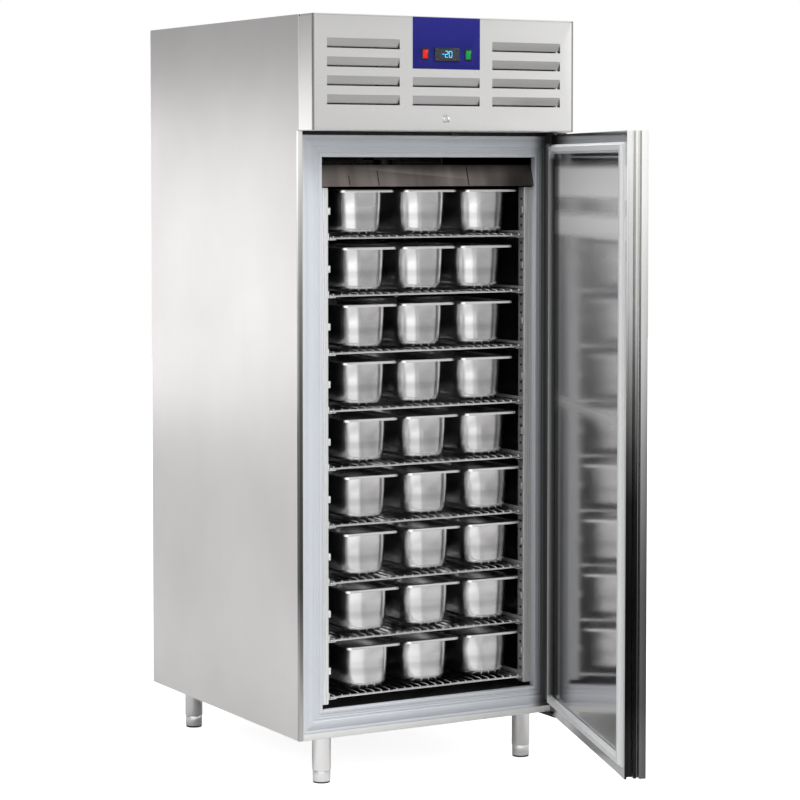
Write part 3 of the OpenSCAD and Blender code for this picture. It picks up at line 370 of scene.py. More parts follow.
zinc_sheet = galvanised("zinc_sheet", (0.62, 0.63, 0.64))
deck_sheet = galvanised("deck_sheet", (0.035, 0.033, 0.032))
print("galvanised:", zinc_sheet.name, deck_sheet.name)

# %% [markdown]
# Plastics and paints aren't metals. Their colour comes from below the surface, and a
# moulded part has a fine texture that softens its gloss. One function serves them all: the
# numbers say how glossy each is and how coarse its texture. On the hinge side the frame's
# tone falls off to the right: painted shade, where the open door shades it. The gasket gets
# painted shade too, for the door's own shadow beside the hinge.


# %% Plastic, paint and rubber
def moulded(name, colour, rough, grain=900.0, depth=0.06 * MM, tint=0.05, coat=0.0,
            shine=0.5, hinge=(), deep=(), between=()):
    """A stop list paints shade by x (hinge) or, where between is 1 on z, by y (deep)."""
    material, g, shader = finish_of(name, Roughness=rough, Coat_Weight=coat,
                                    Specular_IOR_Level=shine)
    texture = g.noise(grain, 2, 0.5)
    patch = g.noise(6.0, 3, 0.5)
    tone = g.mix(patch, *shades(colour, tint))
    # Painted shade towards the hinge.
    if hinge:
        tone = g.times(tone, by_place(g, "X", hinge))
    # Painted shade along y, where between allows it.
    if deep:
        tone = g.mix(by_place(g, "Z", between), tone, by_place(g, "Y", deep), "MULTIPLY")
    wire(g, shader, Base_Color=tone, Normal=g.bump(texture, 0.35, depth))
    return material


# Painted shade: the frame darkens towards the open door on the hinge side.
HINGE_PAINTED_SHADE = [(0.322, 1.0), (0.333, 0.55), (0.345, 0.34), (0.354, 0.05), (0.40, 0.02)]
frame_plastic = moulded("frame_plastic", (0.69, 0.72, 0.765), 0.32, hinge=HINGE_PAINTED_SHADE)
rail_paint = moulded("rail_paint", (0.78, 0.78, 0.77), 0.30)
black_plastic = moulded("black_plastic", (0.022, 0.023, 0.026), 0.42)
black_paint = moulded("black_paint", (0.020, 0.021, 0.024), 0.30, 300.0, 0.1 * MM)
box_plastic = moulded("box_plastic", (0.13, 0.135, 0.145), 0.5)
blue_paint = moulded("blue_paint", (0.010, 0.011, 0.165), 0.55, 500.0, 0.03 * MM, 0.02,
                     shine=0.25)
bezel_plastic = moulded("bezel_plastic", (0.012, 0.012, 0.013), 0.24)
red_plastic = moulded("red_plastic", (0.86, 0.012, 0.020), 0.22, 500.0, 0.03 * MM, 0.02)
green_plastic = moulded("green_plastic", (0.0, 0.33, 0.07), 0.22, 500.0, 0.03 * MM, 0.02)
key_plastic = moulded("key_plastic", (0.05, 0.055, 0.065), 0.4)
# Painted shade: the gasket's leg darkens beside the hinge.
GASKET_HINGE_SHADE = [(-0.560, 1.0), (-0.545, 0.04), (-0.507, 0.03), (-0.503, 0.8)]
GASKET_LEG = [(0.175, 0.0), (0.18, 1.0), (1.664, 1.0), (1.669, 0.0)]
gasket_rubber = moulded("gasket_rubber", (0.84, 0.85, 0.86), 0.46, 700.0, 0.08 * MM,
                        deep=GASKET_HINGE_SHADE, between=GASKET_LEG)
pad_rubber = moulded("pad_rubber", (0.02, 0.02, 0.02), 0.6)
bush_plastic = moulded("bush_plastic", (0.74, 0.73, 0.70), 0.4)
display_glass = moulded("display_glass", (0.010, 0.014, 0.022), 0.12, 500.0, 0.01 * MM,
                        0.02, 0.3)
print("moulded or painted:", len(bpy.data.materials), "materials so far")

# %% [markdown]
# The display's figures glow. They are the only lit thing on the object, so they get an
# emission of their own, whose colour a noise makes waver a little. Three more
# finishes are for what works unseen: copper with its dull bloom, thin aluminium fins, and
# the yellow foam that fills the walls.

# %% Glowing figures, copper, aluminium and foam
glow_cyan, g, shader = finish_of("glow_cyan", Roughness=0.4, Emission_Strength=1.6)
fade = g.ramp(g.noise(90.0, 1, 0.4), [(0.2, (0.02, 0.42, 0.90)), (0.8, (0.10, 0.66, 1.0))])
wire(g, shader, Base_Color=fade, Emission_Color=fade)

copper, g, shader = finish_of("copper", Metallic=1.0)
bloom = g.noise(22.0, 4, 0.65)
wire(g, shader,
     Base_Color=g.ramp(bloom, [(0.35, (0.76, 0.36, 0.20)), (0.75, (0.42, 0.22, 0.15))]),
     Roughness=g.ramp(bloom, [(0.3, 0.25), (0.8, 0.5)]))

fin_metal = brushed("fin_metal", (0.74, 0.75, 0.76), 0.36, "z", 0.08, 0.2)
fan_metal = brushed("fan_metal", (0.66, 0.67, 0.69), 0.32, "x")

foam_yellow, g, shader = finish_of("foam_yellow", Roughness=0.9)
cells = g.add("ShaderNodeTexVoronoi", {"Scale": 260.0, "Vector": g.coordinates()})
wire(g, shader,
     Base_Color=g.ramp(cells.outputs["Distance"],
                       [(0.1, (0.62, 0.48, 0.20)), (0.6, (0.84, 0.72, 0.42))]),
     Normal=g.bump(cells.outputs["Distance"], 0.6, 0.8 * MM))
print(len(bpy.data.materials), "materials")

# %% [markdown]
# Every finish goes on its CAD node first, so that nothing shows without one. Detailed
# pieces later stand in for many of these nodes.

# %% Dressing the CAD nodes
FINISHES = {
    side_steel: ["left_side_panel", "right_side_panel"],
    header_steel: ["header_panel"],
    door_steel: ["door_skin"],
    rack_steel: ["rack_uprights", "shelf_runners"],
    leg_steel: ["leg_tubes", "levelling_feet"],
    shaded_cavity_sheet: ["inner_liner"],
    door_sheet: ["door_liner"],
    cover_sheet: ["evaporator_cover"],
    zinc_sheet: ["back_panel", "top_cover"],
    deck_sheet: ["unit_deck"],
    rail_paint: ["base_panel"],
    frame_plastic: ["door_frame"],
    black_plastic: ["evaporator_fan", "cable_gland"],
    black_paint: ["compressor", "evaporator_fan_motor", "condenser_fan_motor",
                  "hinge_brackets"],
    box_plastic: ["electrical_box"],
    blue_paint: ["control_plate"],
    bezel_plastic: ["switch_bezels"],
    red_plastic: ["power_switch"],
    green_plastic: ["light_switch"],
    key_plastic: ["key_up", "key_down", "key_set", "key_defrost"],
    lock_chrome: ["lock_housing", "lock_barrel"],
    gasket_rubber: ["door_gasket"],
    bush_plastic: ["hinge_bushes"],
    display_glass: ["thermostat"],
    copper: ["refrigerant_pipes"],
    fin_metal: ["evaporator_coil", "condenser_coil"],
    fan_metal: ["condenser_fan"],
    foam_yellow: ["insulation_foam", "door_foam"],
    pan_steel: [name for name in frame["nodes"] if name.startswith("pans_")],
    wire_steel: [name for name in frame["nodes"] if name.startswith("wire_shelf_")],
}
for finish, names in FINISHES.items():
    for name in names:
        mesh = frame["nodes"][name].data
        mesh.materials.clear()
        mesh.materials.append(finish)
undressed = set(frame["nodes"]) - {n for names in FINISHES.values() for n in names}
print("nodes without a finish:", sorted(undressed))

# %% [markdown]
# The next helpers turn points and faces into a finished piece. `add_piece` makes the
# object at the origin, lets it ride on its CAD body and hides the CAD nodes it stands for.
# `add_part` does the same straight from points and faces, and `merged` makes one mesh out
# of several. Flat faces stay crisp and round ones turn smooth, because the edge between
# two faces is marked sharp only past a given angle.

# %% Piece helpers
BODY_OF = {n: b for b, ns in frame["record"]["behaviour"]["bodies"].items() for n in ns}


def finished(mesh, material, smooth=35):
    """Gives a mesh its material, and smooth shading up to an angle in degrees."""
    mesh.materials.clear()
    mesh.materials.append(material)
    mesh.shade_smooth()
    mesh.set_sharp_from_angle(angle=math.radians(smooth))
    return mesh


def taken_from(bm, name):
    """The plain mesh of a bmesh, which ends there."""
    mesh = bpy.data.meshes.new(name)
    bm.to_mesh(mesh)
    bm.free()
    return mesh


def mesh_from(name, points, faces, material, smooth=35):
    """A finished mesh. All faces turn outwards: first alike, then by the volume's sign."""
    bm = bmesh.new()
    corners = [bm.verts.new(p) for p in points]
    for face in faces:
        bm.faces.new([corners[i] for i in face])
    bmesh.ops.recalc_face_normals(bm, faces=bm.faces)
    if bm.calc_volume(signed=True) < 0:
        bmesh.ops.reverse_faces(bm, faces=bm.faces)
    return finished(taken_from(bm, name), material, smooth)


def merged(name, meshes, material, smooth=35):
    """One finished mesh out of several."""
    bm = bmesh.new()
    for mesh in meshes:
        bm.from_mesh(mesh)
    return finished(taken_from(bm, name), material, smooth)


def add_piece(name, mesh, body, nodes=()):
    """The object for a finished mesh, riding on a body and standing for CAD nodes."""
    piece = added(name, mesh)
    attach(piece, body)
    if nodes:
        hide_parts(*nodes)
    return piece


def add_part(name, part, material, body, nodes=(), smooth=35):
    """A piece made straight from a (points, faces) part."""
    return add_piece(name, mesh_from(name, *part, material, smooth), body, nodes)


def joined(parts):
    """One mesh out of several, each given as (points, faces)."""
    points, faces = [], []
    for more_points, more_faces in parts:
        start = len(points)
        points += [tuple(p) for p in more_points]
        faces += [[i + start for i in face] for face in more_faces]
    return points, faces


def loft(rings, closed=False):
    """Skins rings of equally many points. The ends are capped unless the loft is closed."""
    count = len(rings[0])
    points = [p for ring in rings for p in ring]
    faces = []
    for r in range(len(rings) if closed else len(rings) - 1):
        a, b = r * count, (r + 1) % len(rings) * count
        faces += [[a + i, a + (i + 1) % count, b + (i + 1) % count, b + i]
                  for i in range(count)]
    if not closed:
        faces += [list(range(count))[::-1], [len(points) - count + i for i in range(count)]]
    return points, faces


def block(low, high):
    """A box between two corners."""
    (x0, y0, z0), (x1, y1, z1) = low, high
    rings = [[(x0, y0, z), (x1, y0, z), (x1, y1, z), (x0, y1, z)] for z in (z0, z1)]
    return loft(rings)


def circle(radius, steps):
    turn = 2 * math.pi / steps
    return [(radius * math.cos(i * turn), radius * math.sin(i * turn)) for i in range(steps)]


def round_rectangle(width, length, radius, steps=8):
    """Points round a rectangle with round corners, centred on zero."""
    points = []
    for corner, (sx, sy) in enumerate(((1, 1), (-1, 1), (-1, -1), (1, -1))):
        cx, cy = sx * (width / 2 - radius), sy * (length / 2 - radius)
        for i in range(steps + 1):
            a = math.pi / 2 * (corner + i / steps)
            points.append((cx + radius * math.cos(a), cy + radius * math.sin(a)))
    return points


def lathe(profile, steps=48):
    """Turns (radius, height) pairs about Z. The profile starts and ends on flat caps."""
    return loft([[(x, y, z) for x, y in circle(r, steps)] for r, z in profile])


# %% [markdown]
# Folded sheet never has a razor edge: the bend has a radius that catches the light.
# `eased` takes a copy of a CAD node from `welded`, which joins its loose triangles, and
# lets a Bevel modifier round every edge sharper than 30 degrees. The copy keeps the node's
# size and place. `evaluated` turns what the modifier made into a plain mesh.


# %% Rounding the edges of a CAD node
WELD = 0.002 * MM
FLAT, SHARP, EASED_SMOOTH = math.radians(0.5), math.radians(30), 32


def welded(node):
    bm = bmesh.new()
    bm.from_mesh(frame["nodes"][node].data)
    bmesh.ops.remove_doubles(bm, verts=bm.verts, dist=WELD)
    return bm


def evaluated(thing):
    seen = thing.evaluated_get(bpy.context.evaluated_depsgraph_get())
    return bpy.data.meshes.new_from_object(seen)


def eased(node, radius, segments=2):
    bm = welded(node)
    bmesh.ops.dissolve_limit(bm, angle_limit=FLAT, verts=bm.verts, edges=bm.edges)
    copy = added(f"{node}_sheet", taken_from(bm, node))
    bevel = copy.modifiers.new("ease", "BEVEL")
    bevel.width, bevel.segments = radius, segments
    bevel.limit_method, bevel.angle_limit = "ANGLE", SHARP
    solid = evaluated(copy)
    bpy.data.objects.remove(copy)
    finish = frame["nodes"][node].data.materials[0]
    return add_piece(f"{node}_sheet", finished(solid, finish, EASED_SMOOTH),
                     BODY_OF[node], [node])


# %% [markdown]
# Geometry Nodes repeat a thing by rule. The first tree sets copies of the mesh it is given
# in a row: a point's number, times a step, says where its copy goes. Count, step and start
# are named inputs, so one tree serves wires, weld beads and fins. Both trees begin and end
# alike: `tree_start` adds the named inputs, and `tree_end` puts a copy on every point,
# realizes the copies and sets their material.


# %% A tree that repeats
def tree_start(title, **inputs):
    """A tree with a geometry, the given inputs and a material: its graph and its inputs."""
    tree = bpy.data.node_groups.new(title, "GeometryNodeTree")
    for name, kind in {"Geometry": "Geometry", **inputs, "Material": "Material"}.items():
        tree.interface.new_socket(name, in_out="INPUT", socket_type=f"NodeSocket{kind}")
    tree.interface.new_socket("Geometry", in_out="OUTPUT", socket_type="NodeSocketGeometry")
    g = Graph(tree)
    return g, g.add("NodeGroupInput").outputs


def tree_end(g, given, points, copy):
    copies = g.add("GeometryNodeInstanceOnPoints", {"Points": points, "Instance": copy})
    real = g.add("GeometryNodeRealizeInstances", {"Geometry": copies.outputs[0]})
    dressed = g.add("GeometryNodeSetMaterial", {"Geometry": real.outputs[0],
                                                "Material": given["Material"]})
    g.add("NodeGroupOutput", {"Geometry": dressed.outputs[0]})
    return g.tree


def row_tree():
    g, given = tree_start("copies in a row", Count="Int", Step="Vector", Start="Vector")
    number = g.add("GeometryNodeInputIndex").outputs[0]
    at = g.vector("ADD", g.vector("MULTIPLY", number, given["Step"]), given["Start"])
    points = g.add("GeometryNodePoints", {"Count": given["Count"], "Position": at})
    return tree_end(g, given, points.outputs[0], given["Geometry"])


ROW = row_tree()


def grown(name, start_mesh, tree, values):
    """Runs a tree on a mesh and returns the result as a plain mesh."""
    holder = added(name, start_mesh)
    modifier = holder.modifiers.new("grow", "NODES")
    modifier.node_group = tree
    sockets = {s.name: s.identifier for s in tree.interface.items_tree
               if s.in_out == "INPUT"}
    for title, value in values.items():
        modifier[sockets[title]] = value
    holder.update_tag()
    mesh = evaluated(holder)
    holder.modifiers.remove(modifier)
    bpy.data.objects.remove(holder)
    return mesh


def in_a_row(name, part, material, count, step, start):
    """Copies of a (points, faces) part, each a step to the right of the last."""
    return grown(name, mesh_from(name, *part, material), ROW, {
        "Count": count, "Step": (step, 0, 0), "Start": start, "Material": material})


print("row tree:", len(ROW.nodes), "nodes")


# %% [markdown]
# Where things stand unevenly, a row won't do. The second tree takes a mesh of bare points
# and puts a copy of an object on every one. It serves the louvres, the pans and the screws.


# %% A tree that sets copies on points
def planting_tree():
    g, given = tree_start("copies on points", Copy="Object")
    copy = g.add("GeometryNodeObjectInfo", {"Object": given["Copy"]}).outputs["Geometry"]
    return tree_end(g, given, given["Geometry"], copy)


PLANT = planting_tree()


def planted(name, part, material, points, smooth=35):
    """Sets a (points, faces) part on every point, through the tree."""
    single = bpy.data.objects.new("single", mesh_from("single", *part, material, smooth))
    spots = bpy.data.meshes.new(name)
    spots.from_pydata([tuple(p) for p in points], [], [])
    mesh = grown(name, spots, PLANT, {"Copy": single, "Material": material})
    bpy.data.objects.remove(single)
    return mesh


print("planting tree:", len(PLANT.nodes), "nodes")

# %% [markdown]
# ## Folded sheet
# A panel of the cabinet is one sheet with its edges folded over. Seen from the end it is a
# thin ribbon along a bent path, so three small steps make it: round the corners of the
# path, give the path its thickness, and draw the outline out to the panel's length. The
# narrow front edge lies in shade, so it gets a thin strip of a darker steel over it, whose
# painted shade changes with height.


# %% Bending and drawing out
def bent(path, radius, steps=5):
    """The path with each inner corner replaced by an arc."""
    points = [Vector(path[0])]
    for a, b, c in zip(path, path[1:], path[2:]):
        b, back, on = Vector(b), (Vector(a) - Vector(b)), (Vector(c) - Vector(b))
        half = back.angle(on) / 2
        reach = min(radius / math.tan(half), back.length / 2, on.length / 2)
        start, end = b + back.normalized() * reach, b + on.normalized() * reach
        for i in range(steps + 1):
            s = i / steps
            points.append(start * (1 - s) ** 2 + b * (2 * s * (1 - s)) + end * s ** 2)
    return points + [Vector(path[-1])]


def ribbon(path, thickness):
    """A closed outline: the path, and back again beside it on its left."""
    beside = []
    for i, point in enumerate(path):
        along = path[min(i + 1, len(path) - 1)] - path[max(i - 1, 0)]
        along.normalize()
        beside.append(point + Vector((-along.y, along.x)) * thickness)
    return [tuple(p) for p in path] + [tuple(p) for p in reversed(beside)]


def drawn_out(outline, low, high, axis="z"):
    """An (x, y) outline drawn out along z, or a (y, z) outline along x."""
    return loft([[(a, b, c) if axis == "z" else (c, a, b) for a, b in outline]
                 for c in (low, high)])


SHEET = 1 * MM
FOLD = 2.5 * MM
UNDER, EDGE_DEEP, EDGE_GAP = 0.2 * MM, 10 * MM, 0.6 * MM
for side, node in ((-1, "left_side_panel"), (1, "right_side_panel")):
    low, high = place(node)
    outer, lip = (low[0], high[0]) if side < 0 else (high[0], low[0])
    skin_x, skin_y = outer - UNDER * side, low[1] + UNDER
    path = bent([(skin_x, high[1]), (skin_x, skin_y), (lip, skin_y)], FOLD)
    part = drawn_out(ribbon(path, -SHEET * side), low[2], high[2])
    add_part(f"{node}_folded", part, side_steel, "root", [node], smooth=50)
    corner = bent([(outer, low[1] + EDGE_DEEP), (outer, low[1]), (lip + EDGE_GAP * side, low[1])],
                  FOLD)
    # The strip's steel carries painted shade by height.
    strip = drawn_out(ribbon(corner, -UNDER / 2 * side), low[2], place("unit_deck")[1][2])
    add_part(f"{node}_edge", strip, edge_steel, "root", smooth=50)
print("side panel:", len(path), "points along its section")

# %% [markdown]
# ## Header
# The header's casing is drawn like a shallow tray with its mouth to the back: a flat front
# and a round edge that turns into the sides. Upright rings of a round rectangle make it:
# they run round the edge and back, then the same way again inside the wall. The openings
# are cut afterwards with a Boolean, which a sheet this simple takes well. One of them is a
# slot underneath, through which the lock's cam swings.


# %% Casing of the header
def cut(name, part, cutters, material, smooth=35):
    """Takes the cutters away from a part and returns a plain mesh."""
    solid = added(name, mesh_from(name, *part, material, smooth))
    tool = added("tool", mesh_from("tool", *joined(cutters), material))
    boolean = solid.modifiers.new("cut", "BOOLEAN")
    boolean.operation, boolean.object, boolean.solver = "DIFFERENCE", tool, "EXACT"
    mesh = evaluated(solid)
    for thing in (solid, tool):
        bpy.data.objects.remove(thing)
    return finished(mesh, material, smooth)


def middle(low, high):
    """The point halfway between two corners."""
    return [(a + b) / 2 for a, b in zip(low, high)]


def upright_ring(low, high, inset, y, corner):
    """A ring round the header's front, standing upright at y."""
    w, h = high[0] - low[0] - 2 * inset, high[2] - low[2] - 2 * inset
    mid = middle(low, high)
    return [(mid[0] + a, y, mid[2] + b) for a, b in round_rectangle(w, h, corner, 4)]


def tray_rings(low, high, edge, wall):
    """Round the front edge and back, then the same again inside the wall."""
    rings = []
    corner = edge * 1.2
    for inset, steps in ((0, range(7)), (wall, range(6, -1, -1))):
        angles = [math.pi / 12 * i for i in steps]
        turn = [upright_ring(low, high, edge * (1 - math.sin(a)) + inset,
                             low[1] + edge * (1 - math.cos(a)) + inset, corner) for a in angles]
        rear = upright_ring(low, high, inset, high[1], corner)
        rings += turn + [rear] if inset == 0 else [rear] + turn
    return rings


header_low, header_high = place("header_panel")
LOUVRE_H, LOUVRE_SLIT, LOUVRE_PITCH, LOUVRE_PRESS = 26 * MM, 4 * MM, 48.7 * MM, 7 * MM
LOUVRE_TOP = 62.5 * MM
CAM_SLOT_X, CAM_SLOT_Y = (-6 * MM, 40 * MM), (16 * MM, 30 * MM)
SIDE_LOUVRE, MID_LOUVRE, LOUVRE_IN = 216 * MM, 206 * MM, 142 * MM
HEADER_EDGE = 5 * MM
LOCK_HALF, LOCK_HOLE = 6 * MM, 12 * MM
SWITCH_SPARE, LOCK_SPARE, DISPLAY_UNDER = 1.5 * MM, 3 * MM, -3 * MM
front = header_low[1]


def opening(x0, x1, z0, z1, spare=0.0):
    """A cutter through the header's front, larger all round by spare."""
    return block((x0 - spare, front - SHEET, z0 - spare),
                 (x1 + spare, front + 2 * SHEET, z1 + spare))


first_top = header_high[2] - LOUVRE_TOP
louvres = [(x, SIDE_LOUVRE, first_top - row * LOUVRE_PITCH)
           for row in range(4) for x in (-LOUVRE_IN - SIDE_LOUVRE, LOUVRE_IN)]
louvres += [(-MID_LOUVRE / 2, MID_LOUVRE, first_top - row * LOUVRE_PITCH) for row in (2, 3)]
cutters = [opening(x, x + w, top - LOUVRE_H, top) for x, w, top in louvres]
for node, spare in (("power_switch", SWITCH_SPARE), ("light_switch", SWITCH_SPARE),
                    ("thermostat", DISPLAY_UNDER)):
    low, high = place(node)
    cutters.append(opening(low[0], high[0], low[2], high[2], spare))
foot = place("lock_barrel")[0][2]
cutters.append(opening(-LOCK_HALF, LOCK_HALF, foot, foot + LOCK_HOLE, LOCK_SPARE))
cutters.append(block((CAM_SLOT_X[0], front + CAM_SLOT_Y[0], header_low[2] - SHEET),
                     (CAM_SLOT_X[1], front + CAM_SLOT_Y[1], header_low[2] + 2 * SHEET)))
casing = cut("header_casing", loft(tray_rings(header_low, header_high, HEADER_EDGE, SHEET)),
             cutters, header_steel, 40)
print("header casing:", len(casing.polygons), "faces,", len(louvres), "louvres")

# %% [markdown]
# A louvre's blade is pushed in with a press: it hangs from its upper edge and leans
# inwards, which leaves a dark slit below it and a wedge at its ends. The blades of one
# width are copies on points, in a darker copy of the header's steel: painted shade for
# their lean. A small round along the upper edge catches the light. The casing's ends take
# a darker steel, painted shade, and a dark strip of painted shade stands for the fold
# beside each.


# %% Louvre blades
def blade(width):
    lean = [(0.0, 0.0), (0.4 * MM, -1.2 * MM), (LOUVRE_PRESS, LOUVRE_SLIT - LOUVRE_H)]
    path = bent([Vector(p) for p in lean], 2 * MM, 3)
    return drawn_out(ribbon(path, SHEET), 0, width, "x")


# Painted shade on the casing's ends.
casing.materials.append(shaded_end_steel)
for face in casing.polygons:
    if abs(face.normal.x) > 0.9 and abs(face.center.x) > header_high[0] - 2 * MM:
        face.material_index = 1
add_piece("header_casing", casing, "header", ["header_panel"])
# Painted shade: the blades take the darker blade steel.
for width in (SIDE_LOUVRE, MID_LOUVRE):
    spots = [(x, front, top) for x, w, top in louvres if w == width]
    add_piece("header_blades", planted("blades", blade(width), shaded_blade_steel, spots, 25),
              "header")
# Painted shade: a dark strip stands for the fold at each end.
FOLD_W, FOLD_DEEP, FOLD_IN = 5 * MM, 4 * MM, 0.1 * MM
for low_x in (header_low[0] + FOLD_IN, header_high[0] - FOLD_W - FOLD_IN):
    fold = block((low_x, front - 2 * FOLD_IN, header_low[2] + MM),
                 (low_x + FOLD_W, front + FOLD_DEEP, header_high[2] - MM))
    add_part("header_fold", fold, shaded_fold_steel, "header")
print("blades in two widths:", SIDE_LOUVRE / MM, "and", MID_LOUVRE / MM, "mm")

# %% [markdown]
# ## Controls
# The blue plate, the bezels and the rockers only need their edges eased. The thermostat
# gets a glass window and three glowing signs. Each sign has places for seven flat bars,
# and a table says which of the bars it lights.

# %% Plate, switches and thermostat
EASED_CONTROLS = {0.35: ["control_plate"], 0.5: ["switch_bezels"],
                  0.6: ["power_switch", "light_switch", "thermostat"],
                  0.3: ["key_up", "key_down", "key_set", "key_defrost"]}
for radius, names in EASED_CONTROLS.items():
    for node in names:
        eased(node, radius * MM)

WINDOW_W, WINDOW_H = 48 * MM, 26 * MM
display_face = place("thermostat")[0][1]
display_x, _, display_z = middle(*place("thermostat"))


def on_display(x, z, w, h, out, back):
    """A flat block centred at x, z from the display's middle, from out to back of its face."""
    x, z = display_x + x, display_z + z
    return block((x - w / 2, display_face - out, z - h / 2),
                 (x + w / 2, display_face - back, z + h / 2))


add_part("display_window", on_display(0, 0, WINDOW_W, WINDOW_H, 0.25 * MM, -0.1 * MM),
         display_glass, "header")

BARS = {"top": (0, 2, "flat"), "mid": (0, 0, "flat"), "low": (0, -2, "flat"),
        "up left": (-1, 1, "tall"), "up right": (1, 1, "tall"),
        "low left": (-1, -1, "tall"), "low right": (1, -1, "tall")}
LIT = {"-": ["mid"], "2": ["top", "up right", "mid", "low left", "low"],
       "0": ["top", "up left", "up right", "low left", "low right", "low"]}
HALF_W, HALF_H, STROKE = 4.2 * MM, 4.0 * MM, 1.5 * MM
BAR_SHARE = 0.86
figures = []
for figure_x, sign in ((-12 * MM, "-"), (-2 * MM, "2"), (10 * MM, "0")):
    for column, row, way in (BARS[bar] for bar in LIT[sign]):
        w, h = (2 * HALF_W, STROKE) if way == "flat" else (STROKE, 2 * HALF_H)
        figures.append(on_display(figure_x + column * HALF_W, row * HALF_H, w * BAR_SHARE,
                                  h * BAR_SHARE, 0.4 * MM, 0.2 * MM))
add_part("figures", joined(figures), glow_cyan, "header")
print("display:", len(figures), "lit bars")

# %% [markdown]
# ## Lock
# The lock is turned from brass and plated: a collar with a round shoulder, and the barrel
# with its key slot inside it. A lathe profile makes the collar. It comes back to its
# start, so the ring is whole and the lathe's two caps are left off.

# %% Lock
low, high = place("lock_housing")
lock_x, _, lock_z = middle(low, high)
collar_r = (high[0] - low[0]) / 2
COLLAR_WALL, SHOULDER, BARREL_GAP = 1.5 * MM, 1.2 * MM, 0.1 * MM


def turned_front(profile, x, z, steps):
    """A lathe part whose axis points to the front, for (radius, y) pairs."""
    points, faces = lathe(profile, steps)
    return [(x + a, y, z + b) for a, b, y in points], faces


bore = place("lock_barrel")[1][2] - lock_z + BARREL_GAP
points, faces = turned_front([
    (bore, low[1] + 0.6 * MM), (bore + 0.8 * MM, low[1]), (collar_r - SHOULDER, low[1]),
    (collar_r, low[1] + SHOULDER), (collar_r, front), (collar_r - COLLAR_WALL, front),
    (collar_r - COLLAR_WALL, high[1]), (bore, high[1]), (bore, low[1] + 0.6 * MM)],
    lock_x, lock_z, 40)
without_caps = faces[:-2]
add_part("lock_collar", (points, without_caps), lock_chrome, "header", ["lock_housing"],
         smooth=40)
eased("lock_barrel", 0.25 * MM)
print("lock collar:", round(collar_r / MM, 1), "mm in radius")

# %% [markdown]
# ## Frame of the door opening
# The frame is a plastic profile, cut at 45 degrees and set together like a picture frame.
# Its section is a list of (distance from the outer edge, depth). `mitred` runs such a
# section round a rectangle. Each of the four lengths stops a fifth of a millimetre short
# of the mitre, so that the joint shows as a fine line.


# %% Mitred lengths
def mitred(section, low, high, gap=0.0):
    """Four lengths round the rectangle from low to high, each given as (x, z)."""
    parts = []
    corners = [(low[0], low[1], 1, 1), (high[0], low[1], -1, 1),
               (high[0], high[1], -1, -1), (low[0], high[1], 1, -1)]
    for start, end in zip(corners, corners[1:] + corners[:1]):
        along = Vector((end[0] - start[0], end[1] - start[1])).normalized() * gap
        rings = []
        for (x, z, in_x, in_z), way in ((start, 1), (end, -1)):
            rings.append([(x + in_x * inset + along.x * way, y, z + in_z * inset + along.y * way)
                          for inset, y in section])
        parts.append(loft(rings))
    return joined(parts)


low, high = place("door_frame")
frame_front, frame_back = low[1], high[1]
band = place("inner_liner")[0][0] - low[0] + SHEET
MITRE_GAP = 0.2 * MM
FRAME_SECTION = [(0, 1.2), (0.6, 0.3), (1.6, 0), (7.0, 0), (7.8, 0.9), (9.4, 0.9),
                 (10.2, 0), (30.0, 0), (31.0, 0.6), (31.6, 2.0), (36.0, 2.0), (36.6, 1.3),
                 (38.0, 1.3), (38.6, 2.0), (42.0, 2.0), (42.6, 1.3), (44.0, 1.3),
                 (44.6, 2.0), (48.4, 2.0), (49.0, 0.6), (50.0, 0), (56.0, 0),
                 (57.4, 0.6), (58.0, 2.0)]
section = [(inset * MM, frame_front + depth * MM) for inset, depth in FRAME_SECTION]
section += [(band, frame_back), (0, frame_back)]
part = mitred(section, (low[0], low[2]), (high[0], high[2]), MITRE_GAP)
add_part("mitred_frame", part, frame_plastic, "root", ["door_frame"], smooth=50)
print("frame band:", round(band / MM, 1), "mm wide")

# %% [markdown]
# ## Door
# The door stands open, so its pieces are drawn closed, where every line is square to the
# axes, and are then turned about the hinge. `swung` does that turn. The skin is one
# folded outline: along its free edge runs the grip, a deep channel with a rounded rib.
# The grip and the rib's lip lie in shade, so their faces take darker steels: painted shade
# and a painted reflection of the dark floor, darkest towards the foot.

# %% Skin with its grip
DOOR_OPEN = math.radians(70.3)
HINGE = Vector((386 * MM, -495 * MM, 0))
DOOR_Y = (-534 * MM, -479 * MM)
DOOR_Z = (123 * MM, 1723 * MM)
HALF = 400 * MM
MARGIN, BEVEL, HOLLOW = 40 * MM, 3 * MM, 5 * MM
GRIP_IN, GRIP_DEEP, LIP_IN, RIB_DEEP, RIB_IN = 23 * MM, 23 * MM, 5 * MM, 32 * MM, 16 * MM
GRIP_EDGE, RIB_EDGE = -HALF + 24 * MM, DOOR_Y[1] - 33 * MM
OPENED = (Matrix.Translation(HINGE) @ Matrix.Rotation(DOOR_OPEN, 4, "Z")
          @ Matrix.Translation(-HINGE))


def swung(part):
    points, faces = part
    return [tuple(OPENED @ Vector(p)) for p in points], faces


